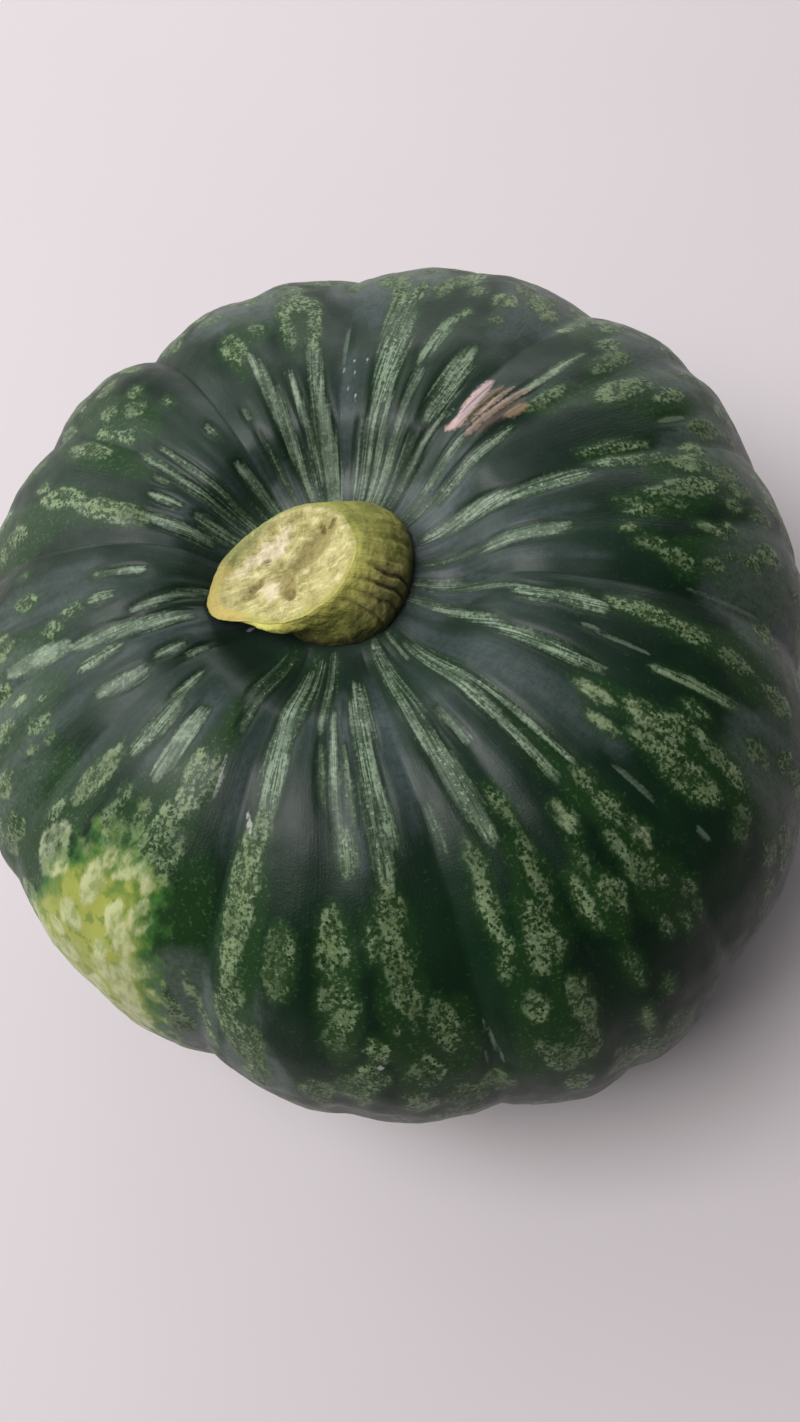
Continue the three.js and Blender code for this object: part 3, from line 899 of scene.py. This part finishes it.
STRANDS_NEAR = ((0.030, 0.060, 0.027), (0.235, 0.308, 0.218))
STRANDS_FAR = ((0.016, 0.042, 0.012), (0.155, 0.215, 0.118))
STREAK_PORE = (0.012, 0.030, 0.010)
STREAK_FAINT = (0.024, 0.052, 0.022)
STREAK_BRIGHT = (0.31, 0.39, 0.29)
STREAK_GAP = (0.030, 0.056, 0.030)
STREAK_GLINT = (0.34, 0.42, 0.34)

MOTTLE_GREENS = ((0.020, 0.050, 0.014), (0.150, 0.210, 0.098))
BLOTCH_RIM = (0.22, 0.295, 0.18)
BLOTCH_PORE = (0.005, 0.014, 0.004)
BLOTCH_FAINT = (0.020, 0.046, 0.015)
BLOTCH_BRIGHT = (0.30, 0.35, 0.205)
BLOTCH_GLINT = (0.32, 0.40, 0.27)

THREAD_GREEN = (0.115, 0.16, 0.105)
SPOT_GREENS = ((0.040, 0.125, 0.026), (0.285, 0.315, 0.062))
SPOT_DARKER = (0.110, 0.180, 0.032)
CREAMS = ((0.26, 0.31, 0.12), (0.46, 0.48, 0.26))
CORK_BROWNS = ((0.060, 0.042, 0.030), (0.30, 0.215, 0.125))
CORK_PINK = (0.58, 0.40, 0.37)
CORK_LILAC = (0.33, 0.28, 0.31)
CORK_CRACK = (0.115, 0.085, 0.080)
SCRATCH_WHITE = (0.36, 0.37, 0.34)

SIDE_OLIVES = ((0.215, 0.235, 0.038), (0.345, 0.335, 0.075))
SIDE_FIBRE = (0.160, 0.170, 0.036)
SIDE_GRIT = (0.46, 0.42, 0.17)
SIDE_LOW = (0.215, 0.185, 0.078)
SIDE_TAN = (0.47, 0.42, 0.155)
FURROW_BROWN = (0.105, 0.076, 0.034)
BAND_YELLOW = (0.60, 0.57, 0.14)
TIP_ORANGE = (0.47, 0.35, 0.085)
# Painted shade at the stalk's foot, where it meets the rind.
FOOT_SHADE = (0.045, 0.038, 0.018)

PITHS = ((0.36, 0.32, 0.112), (0.48, 0.43, 0.185))
PITH_LIGHT = (0.70, 0.64, 0.34)
PITH_DARK = (0.22, 0.19, 0.060)
PITH_GRIT = (0.72, 0.67, 0.42)
RECESS_TAN = (0.265, 0.215, 0.070)
FIBRE_WHITE = (0.72, 0.62, 0.45)
PIT_BROWN = (0.13, 0.10, 0.025)
RIM_SKINS = ((0.20, 0.21, 0.060), (0.42, 0.40, 0.105))
RIM_GRIT = (0.52, 0.47, 0.19)
RIM_ORANGE = (0.50, 0.38, 0.10)

FLOOR_GREYS = ((0.60, 0.55, 0.565), (0.64, 0.59, 0.605))

MIX_FIRST, MIX_SECOND, MIX_RESULT = 6, 7, 2  # the colour sockets of a Mix node


class Nodes:
    """A short way to write a material's nodes. Sizes are in millimetres."""

    def __init__(self, name):
        self.material = bpy.data.materials.new(name)
        self.material.use_nodes = True
        self.tree = self.material.node_tree
        self.shader = self.tree.nodes["Principled BSDF"]
        self.place = self.add("ShaderNodeTexCoord").outputs["Object"]

    def add(self, kind, **settings):
        node = self.tree.nodes.new(kind)
        for setting, value in settings.items():
            setattr(node, setting, value)
        return node

    def feed(self, socket, value):
        if isinstance(value, bpy.types.NodeSocket):
            self.tree.links.new(value, socket)
        elif socket.type == "RGBA":
            socket.default_value = (*value, 1.0)
        else:
            socket.default_value = value

    def feed_shader(self, values):
        for name, value in values.items():
            self.feed(self.shader.inputs[name], value)

    def field(self, name, output="Fac"):
        return self.add("ShaderNodeAttribute", attribute_name=name).outputs[output]

    def stretched(self, vector, stretch):
        node = self.add("ShaderNodeMapping")
        self.feed(node.inputs["Vector"], vector)
        node.inputs["Scale"].default_value = stretch
        return node.outputs["Vector"]

    def noise_on(self, vector, scale, detail, roughness):
        """Noise with about that many features along each unit of the vector."""
        node = self.add("ShaderNodeTexNoise")
        self.feed(node.inputs["Vector"], vector)
        node.inputs["Scale"].default_value = scale
        node.inputs["Detail"].default_value = detail
        node.inputs["Roughness"].default_value = roughness
        return node.outputs["Fac"]

    def noise(self, size, detail=3.0, roughness=0.55):
        return self.noise_on(self.place, 1 / (size * MM), detail, roughness)

    def cells(self, size, feature="F1", smooth=None):
        node = self.add("ShaderNodeTexVoronoi", feature=feature)
        self.feed(node.inputs["Vector"], self.place)
        node.inputs["Scale"].default_value = 1 / (size * MM)
        if smooth is not None:
            node.inputs["Smoothness"].default_value = smooth
        return node.outputs["Distance"]

    def math(self, operation, first, second=0.0, third=None):
        node = self.add("ShaderNodeMath", operation=operation)
        self.feed(node.inputs[0], first)
        self.feed(node.inputs[1], second)
        if third is not None:
            self.feed(node.inputs[2], third)
        return node.outputs[0]

    def roughened(self, base, *noises):
        """base with (noise, amount) pairs added, each as (noise - 0.5) * amount."""
        for texture, amount in noises:
            lowered = self.math("ADD", base, -0.5 * amount)
            base = self.math("MULTIPLY_ADD", texture, amount, lowered)
        return base

    def times(self, *values):
        product = values[0]
        for value in values[1:]:
            product = self.math("MULTIPLY", product, value)
        return product

    def ramp(self, value, low, high, to_low=0.0, to_high=1.0):
        node = self.add("ShaderNodeMapRange", interpolation_type="SMOOTHSTEP")
        self.feed(node.inputs["Value"], value)
        node.inputs["From Min"].default_value = low
        node.inputs["From Max"].default_value = high
        node.inputs["To Min"].default_value = to_low
        node.inputs["To Max"].default_value = to_high
        return node.outputs["Result"]

    def mix(self, share, first, second):
        node = self.add("ShaderNodeMix", data_type="RGBA", blend_type="MIX")
        self.feed(node.inputs[0], share)
        self.feed(node.inputs[MIX_FIRST], first)
        self.feed(node.inputs[MIX_SECOND], second)
        return node.outputs[MIX_RESULT]

    def over(self, base, colour, *shares):
        """That colour laid over the base, by the product of those shares."""
        return self.mix(self.times(*shares), base, colour)

    def layered(self, base, *layers):
        """The base under layers, each (colour, share, ...)."""
        for layer in layers:
            base = self.over(base, *layer)
        return base

    def bump(self, height, distance):
        node = self.add("ShaderNodeBump")
        self.feed(node.inputs["Height"], height)
        node.inputs["Distance"].default_value = distance * MM
        return node.outputs["Normal"]


# ---- The rind's material ----

def rind_patterns(n):
    """The noises and the frayed marks that several parts of the rind's material read."""
    p = SimpleNamespace()
    p.grain = n.field("grain", "Vector")
    p.level = n.field("level")
    p.near_stalk = n.ramp(p.level, 0.09, 0.25, 1.0, 0.0)

    # Edges of marks are frayed along the grain near the stalk and crumbly further out.
    p.fibres = n.noise_on(n.stretched(p.grain, (1, 1, 0.3)), 46.0, 2.0, 0.55)
    p.fine_fibres = n.noise_on(n.stretched(p.grain, (1, 1, 0.28)), 125.0, 2.0, 0.6)
    p.crumble = n.noise_on(n.stretched(p.grain, (1, 1, 1.5)), 38.0, 3.0, 0.6)
    p.fine_crumble = n.noise(0.8, 2.0, 0.6)
    p.streak = n.roughened(n.field("streak"), (p.fibres, 3.0), (p.fine_crumble, 1.0))
    p.blotch = n.roughened(n.field("blotch"), (p.crumble, 2.4), (p.fine_crumble, 0.9))
    p.scar = n.roughened(n.field("scar"), (p.fine_crumble, 1.3), (p.fibres, 1.6))
    p.scarred = n.ramp(p.scar, -0.50, 0.50)

    # Pores, glints and worn patches inside the pale marks.
    p.pores = n.ramp(n.cells(1.25), 0.16, 0.36, 1.0, 0.0)
    p.glints = n.times(n.ramp(n.noise(0.7, 1.0), 0.60, 0.70), 0.5)
    p.patchy = n.ramp(n.noise(7.0, 2.0, 0.5), 0.38, 0.60, 0.6, 0.0)
    return p


def dark_rind(n, p):
    """The dark rind, greener round the marks, with wax bloom, painted sheen and painted hollow
    light.
    """
    wisps = n.noise_on(n.stretched(p.grain, (1, 1, 0.5)), 16.0, 5.0, 0.65)
    # Painted sheen: the bloom patches, partly the rind's own wax bloom, also stand where the rind
    # reflects the bright room.
    bloom_and_sheen = n.ramp(n.roughened(n.field("bloom_and_sheen"), (wisps, 1.7)), 0.15, 1.15)
    bloom_and_sheen = n.times(bloom_and_sheen, n.ramp(n.noise(1.3, 3.0, 0.7), 0.36, 0.62, 0.6, 1.1))
    # Painted light: where the patches are strongest, in the shaded hollow round the stalk, a pale
    # grey lightens the rind, partly as thick bloom.
    frost_and_hollow_light = n.ramp(n.roughened(n.field("bloom_and_sheen"), (wisps, 2.0)), 1.2, 2.8, 0.0, 0.75)
    flecks = n.ramp(p.fine_crumble, 0.56, 0.72)

    # Near the stalk the grey is partly wax bloom and partly painted sheen.
    dark = n.layered(
        n.mix(n.ramp(n.noise(30.0, 2.0), 0.35, 0.68), *DEEP_GREENS),
        (WAX_AND_SHEEN_GREY, p.near_stalk, 0.35),
        (BLOOM_AND_SHEEN_GREY, bloom_and_sheen, 0.80),
        (FROST_AND_HOLLOW_LIGHT_GREY, frost_and_hollow_light),
        (FLECK_GREY, flecks, n.ramp(p.crumble, 0.42, 0.62), 0.35),
    )

    shade = n.roughened(n.field("shade"), (n.noise(7.0, 3.0, 0.6), 5.0))
    halo = n.math("MAXIMUM", n.ramp(p.streak, -1.6, 0.2), n.ramp(p.blotch, -2.0, 0.2))
    halo = n.math("MAXIMUM", n.times(halo, 0.75), n.times(n.ramp(shade, -0.8, 2.0), 0.85))
    colour = n.mix(halo, dark, n.mix(flecks, *HALO_GREENS))
    # Painted sheen: a grey haze over the outer rind, where the rims catch grazing light, with some
    # bloom.
    return n.over(colour, RIM_BLOOM_AND_SHEEN_GREY, bloom_and_sheen, n.ramp(p.level, 0.20, 0.28), 0.60)


def with_streaks(n, p, colour):
    """Pale streaks of fine strands, with painted shade in a crease beside each near the stalk."""
    # Painted shade: a dark line in the crease beside each streak near the stalk.
    beside = n.ramp(p.streak, -0.3, 0.2, 1.0, 0.0)
    crease_shade = n.times(n.ramp(p.streak, -1.3, -0.5), beside, p.near_stalk)
    colour = n.over(colour, CREASE_SHADE, crease_shade, n.ramp(p.level, 0.06, 0.11, 0.25, 0.6))

    paleness = n.field("streak_paleness")
    lit = n.roughened(p.fine_fibres, (p.fine_crumble, 0.5), (p.fibres, 0.5))
    lit = n.ramp(lit, 0.36, 0.62)
    pale = n.layered(
        n.mix(p.near_stalk, n.mix(lit, *STRANDS_FAR), n.mix(lit, *STRANDS_NEAR)),
        (STREAK_PORE, p.pores, n.ramp(p.level, 0.10, 0.22, 0.35, 0.75)),
        (STREAK_FAINT, n.ramp(paleness, 0.4, 1.0, 0.55, 0.0)),
        (STREAK_BRIGHT, n.ramp(paleness, 1.0, 1.4, 0.0, 0.5)),
        (STREAK_GAP, p.patchy),
        (STREAK_GLINT, p.glints),
    )
    return n.over(colour, pale, n.ramp(p.streak, -0.6, 1.0))


def with_blotches(n, p, colour):
    """Mottled blotches, palest at their rims."""
    paleness = n.field("blotch_paleness")
    mottle = n.ramp(n.roughened(p.fine_crumble, (p.crumble, 0.9)), 0.42, 0.64)
    rim = n.times(n.ramp(p.blotch, -0.3, 0.4), n.ramp(p.blotch, 0.6, 1.9, 1.0, 0.0))
    bright = n.ramp(paleness, 1.0, 1.7, 0.0, 0.85)
    speckled = n.layered(
        n.mix(mottle, *MOTTLE_GREENS),
        (BLOTCH_RIM, rim, mottle, 0.45),
        (BLOTCH_PORE, p.pores, 0.92),
        (BLOTCH_FAINT, n.ramp(paleness, 0.4, 1.0, 0.65, 0.0)),
        (BLOTCH_BRIGHT, bright, n.ramp(p.crumble, 0.3, 0.6)),
        (BLOTCH_FAINT, p.patchy, 0.7),
        (BLOTCH_GLINT, p.glints, 0.6),
    )
    return n.over(colour, speckled, n.ramp(p.blotch, -0.5, 1.0))


def thin_mark(n, p, field):
    """1 on the threads or the scratches, fading at their edges."""
    return n.ramp(n.roughened(n.field(field), (p.fine_crumble, 0.5)), -0.25, 0.15)


def with_ground_spot(n, p, colour):
    """The spot where the fruit lay: yellow green, with cream cells and blotches."""
    ground = n.roughened(n.field("ground"), (n.noise(9.0, 3.0, 0.6), 0.7), (p.crumble, 0.35))
    spot = n.mix(n.ramp(ground, 0.05, 0.36), *SPOT_GREENS)
    spot = n.over(spot, SPOT_DARKER, n.ramp(n.noise(3.2, 3.0, 0.6), 0.50, 0.62), 0.7)
    cream = n.mix(n.ramp(p.crumble, 0.35, 0.6), *CREAMS)
    cells = n.roughened(n.cells(7.5, "SMOOTH_F1", 0.4), (p.crumble, 0.3))
    cells = n.ramp(cells, 0.24, 0.40, 0.8, 0.0)
    cells = n.math("MAXIMUM", cells, n.times(n.ramp(p.blotch, -0.6, 0.6), 0.8))
    spot = n.over(spot, cream, cells, n.ramp(ground, 0.0, 0.25, 0.25, 1.0))
    return n.over(colour, spot, n.ramp(ground, -0.12, 0.10))


def with_scars(n, p, colour):
    """The healed graze and the blossom end's scar, by their tone."""
    tone = n.roughened(n.field("scar_paleness"), (p.crumble, 0.4), (p.fine_fibres, 0.5))
    cork = n.layered(
        n.mix(n.ramp(tone, 0.4, 0.9), *CORK_BROWNS),
        (CORK_PINK, n.ramp(tone, 1.0, 1.3)),
        (CORK_LILAC, n.ramp(tone, 1.35, 1.5), 0.8),
        (CORK_CRACK, n.ramp(p.fibres, 0.50, 0.60, 0.0, 0.55)),
    )
    return n.over(colour, cork, p.scarred, 0.92)


def rind_roughness(n, p):
    rough = n.ramp(n.noise(4.0, 3.0), 0.3, 0.7, 0.36, 0.46)
    rough = n.math("ADD", rough, n.times(n.ramp(p.streak, -0.3, 0.5), 0.08))
    return n.math("MAXIMUM", rough, n.times(p.scarred, 0.85))


def rind_material():
    n = Nodes("rind")
    p = rind_patterns(n)
    colour = with_streaks(n, p, dark_rind(n, p))
    colour = with_blotches(n, p, colour)
    colour = n.over(colour, THREAD_GREEN, thin_mark(n, p, "thread"), 0.7)
    colour = with_scars(n, p, with_ground_spot(n, p, colour))
    colour = n.over(colour, SCRATCH_WHITE, thin_mark(n, p, "scratch"), 0.8)
    wax = n.ramp(p.level, 0.14, 0.22, 0.30, 0.0)
    skin = n.roughened(n.times(n.noise(0.5, 2.0), 0.5), (p.fine_fibres, 0.5))
    skin = n.math("ADD", skin, n.times(p.crumble, 0.4))
    values = {
        "Base Color": colour,
        "Roughness": rind_roughness(n, p),
        "Specular IOR Level": 0.12,
        "Coat Weight": wax,
        "Coat Roughness": 0.41,
        "Sheen Weight": 0.034,
        "Sheen Roughness": 0.45,
        "Normal": n.bump(skin, 0.11),
    }
    n.feed_shader(values)
    return n.material


# ---- The stalk's material ----

def stalk_patterns(n):
    """The noises and fields that several parts of the stalk's material read."""
    p = SimpleNamespace()
    p.climb = n.field("climb")
    p.front = n.field("front")
    p.fibres = n.noise_on(n.stretched(n.field("turn", "Vector"), (1, 1, 0.5)), 26.0, 3.0, 0.6)
    p.blot = n.noise(4.0, 3.0, 0.6)
    p.grit = n.noise(0.9, 3.0, 0.65)
    p.tip = n.ramp(n.roughened(n.field("lip"), (p.blot, 0.25)), 0.80, 0.97)
    return p


def stalk_skin(n, p):
    """Olive skin, greener on the right, with brown furrows at the front right."""
    brown = n.field("brown")
    low = n.ramp(n.roughened(p.climb, (p.blot, 0.7)), 0.05, 0.70, 1.0, 0.0)
    furrow = n.times(
        n.ramp(n.field("furrow"), 0.35, 0.90),
        n.ramp(brown, 0.05, 0.7, 0.15, 0.85),
        n.ramp(p.climb, 0.70, 1.0, 1.0, 0.1),
    )
    return n.layered(
        n.mix(n.ramp(p.blot, 0.36, 0.64), *SIDE_OLIVES),
        (SIDE_FIBRE, n.ramp(p.fibres, 0.42, 0.66), 0.45),
        (SIDE_GRIT, n.ramp(p.grit, 0.60, 0.74), 0.4),
        (SIDE_LOW, low, n.ramp(brown, 0.0, 0.7, 0.35, 0.55)),
        (SIDE_TAN, n.ramp(brown, 0.1, 0.8), 0.6),
        (FURROW_BROWN, furrow),
    )


def with_band_and_foot_shade(n, p, side):
    """A bright band under the front of the cut, an orange tip to the lip and painted shade at the
    foot.
    """
    wavy = n.roughened(p.fibres, (p.blot, 0.8))
    high = n.ramp(n.roughened(p.climb, (wavy, 0.35)), 0.58, 0.90)
    # Painted shade: the stalk darkens towards its foot, where it meets the rind.
    foot = n.ramp(n.roughened(p.climb, (p.blot, 0.12)), 0.03, 0.32, 1.0, 0.0)
    return n.layered(
        side,
        (BAND_YELLOW, high, n.ramp(p.front, -0.1, 0.75), 0.95),
        (TIP_ORANGE, p.tip, high, 0.8),
        (FOOT_SHADE, foot, 0.8),
    )


def cut_pith(n, p):
    """Cream pith, torn into fibres, with a tan recess, whitish fibres and brown pits."""
    torn = n.noise_on(n.stretched(n.place, (0.35, 1, 1)), 1 / (1.5 * MM), 4.0, 0.7)
    recess = n.roughened(n.field("recess"), (p.blot, 0.9))
    white = n.roughened(n.field("white"), (torn, 1.6), (p.blot, 0.9))
    pit = n.roughened(n.field("pit"), (torn, 3.0), (p.grit, 1.5))
    return n.layered(
        n.mix(n.ramp(p.blot, 0.34, 0.64), *PITHS),
        (PITH_LIGHT, n.ramp(torn, 0.52, 0.62), 0.6),
        (PITH_DARK, n.ramp(torn, 0.46, 0.36), 0.7),
        (PITH_GRIT, n.ramp(p.grit, 0.60, 0.70), 0.5),
        (RECESS_TAN, n.ramp(recess, -0.1, 0.5), 0.8),
        (FIBRE_WHITE, n.ramp(white, -0.1, 0.6), 0.7),
        (PIT_BROWN, n.ramp(pit, -0.3, 0.6), 0.75),
    )


def with_rim_skin(n, p, face):
    """A border of skin round the cut face."""
    border = n.ramp(n.roughened(n.field("skin"), (p.blot, 0.16), (p.grit, 0.12)), -0.04, 0.08)
    rim_skin = n.layered(
        n.mix(n.ramp(p.front, -0.6, 0.6), *RIM_SKINS),
        (RIM_GRIT, n.ramp(p.grit, 0.50, 0.68), 0.5),
        (RIM_ORANGE, p.tip, 0.8),
    )
    return n.over(face, rim_skin, border, 0.9)


def stalk_material():
    n = Nodes("stalk")
    p = stalk_patterns(n)
    side = with_band_and_foot_shade(n, p, stalk_skin(n, p))
    face = with_rim_skin(n, p, cut_pith(n, p))
    relief = n.roughened(n.times(p.fibres, 0.6), (p.grit, 0.6))
    values = {
        "Base Color": n.mix(n.field("cut"), side, face),
        "Roughness": n.ramp(p.grit, 0.3, 0.7, 0.62, 0.82),
        "Specular IOR Level": 0.4,
        "Normal": n.bump(relief, 0.35),
    }
    n.feed_shader(values)
    return n.material


def floor_material():
    n = Nodes("pale_floor")
    colour = n.mix(n.noise(160.0, 3.0), *FLOOR_GREYS)
    n.feed_shader({"Base Color": colour, "Roughness": 0.6, "Specular IOR Level": 0.25})
    return n.material


# ---- Floor, light and camera ----

FLOOR_HALF_SIZE = 3.0

# The camera, from the fruit's own middle in millimetres, with its turns in degrees.
CAMERA_PLACE = (0.0, -118.2, 271.3)
CAMERA_ROLL = -12.70
CAMERA_PAN = 0.15
CAMERA_TILT = -1.68
CAMERA_ELEVATION = 66.46
FOCAL_PIXELS = 1300
IMAGE_HEIGHT = 1422
SENSOR_WIDTH = 36.0

# The light: a wide window at the back left, the ceiling above it, and the dim room.
LIGHT_AIM = Vector((0.0, 0.0, 0.05))
LIGHT_DISTANCE = 1.9
WINDOW_COLOUR = (0.97, 0.985, 1.0)
CEILING_COLOUR = (1.0, 0.985, 0.985)
ROOM_COLOUR = (1.0, 0.985, 0.97)
ROOM_STRENGTH = 0.03


def make_floor():
    s = FLOOR_HALF_SIZE
    mesh = bpy.data.meshes.new("floor")
    mesh.from_pydata([(-s, -s, 0), (s, -s, 0), (s, s, 0), (-s, s, 0)], [], [(0, 1, 2, 3)])
    floor = bpy.data.objects.new("floor", mesh)
    bpy.context.scene.collection.objects.link(floor)
    floor.data.materials.append(floor_material())
    return floor


def softbox(name, azimuth, elevation, width, height, radiance, colour):
    """A soft light that faces the fruit from that direction, its sizes in metres."""
    light = bpy.data.lights.new(name, "AREA")
    light.shape = "RECTANGLE"
    light.size = width
    light.size_y = height
    light.energy = math.pi * width * height * radiance
    light.color = colour
    azimuth, elevation = math.radians(azimuth), math.radians(elevation)
    level = math.cos(elevation)
    towards = Vector((level * math.cos(azimuth), level * math.sin(azimuth), math.sin(elevation)))
    lamp = bpy.data.objects.new(name, light)
    lamp.location = LIGHT_AIM + LIGHT_DISTANCE * towards
    lamp.rotation_mode = "QUATERNION"
    lamp.rotation_quaternion = towards.to_track_quat("Z", "Y")
    bpy.context.scene.collection.objects.link(lamp)


def light_the_room():
    softbox("window_low", 150, 20, 1.9, 0.9, 4.45, WINDOW_COLOUR)
    softbox("window_side", 68, 20, 1.8, 0.9, 2.8, WINDOW_COLOUR)
    softbox("window_high", 110, 42, 1.2, 0.8, 1.2, WINDOW_COLOUR)
    softbox("ceiling", 181, 64, 1.15, 1.1, 8.75, CEILING_COLOUR)
    world = bpy.data.worlds.new("room")
    world.use_nodes = True
    background = world.node_tree.nodes["Background"]
    background.inputs["Color"].default_value = (*ROOM_COLOUR, 1.0)
    background.inputs["Strength"].default_value = ROOM_STRENGTH
    bpy.context.scene.world = world


def turned(first, second, angle):
    """Two axes turned in their plane, the first away from the second."""
    sine, cosine = math.sin(angle), math.cos(angle)
    return first * cosine - second * sine, first * sine + second * cosine


def make_camera(shift):
    roll, pan, tilt, elevation = [
        math.radians(angle) for angle in (CAMERA_ROLL, CAMERA_PAN, CAMERA_TILT, CAMERA_ELEVATION)
    ]
    right = Vector((1, 0, 0))
    ahead = Vector((0, math.cos(elevation), -math.sin(elevation)))
    up = Vector((0, math.sin(elevation), math.cos(elevation)))
    right, ahead = turned(right, ahead, pan)
    up, ahead = turned(up, ahead, tilt)
    up, right = turned(up, right, roll)
    lens = bpy.data.cameras.new("camera")
    lens.sensor_width = SENSOR_WIDTH
    lens.lens = SENSOR_WIDTH * FOCAL_PIXELS / IMAGE_HEIGHT
    lens.clip_start = 0.01
    camera = bpy.data.objects.new("camera", lens)
    axes = Matrix((right, up, -ahead)).transposed()
    place = (Vector(CAMERA_PLACE) + Vector(shift)) * MM
    camera.matrix_world = Matrix.Translation(place) @ axes.to_4x4()
    bpy.context.scene.collection.objects.link(camera)
    bpy.context.scene.camera = camera


# ---- The scene ----

shift = place_in_frame()

fruit = make_fruit(shift)
fruit.data.materials.append(rind_material())
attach(fruit, "root")
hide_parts("squash_body")

stalk = make_stalk(shift)
stalk.data.materials.append(stalk_material())
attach(stalk, "root")
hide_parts("stem")

floor = make_floor()
light_the_room()
make_camera(shift)
bpy.context.scene.view_settings.view_transform = "Standard"
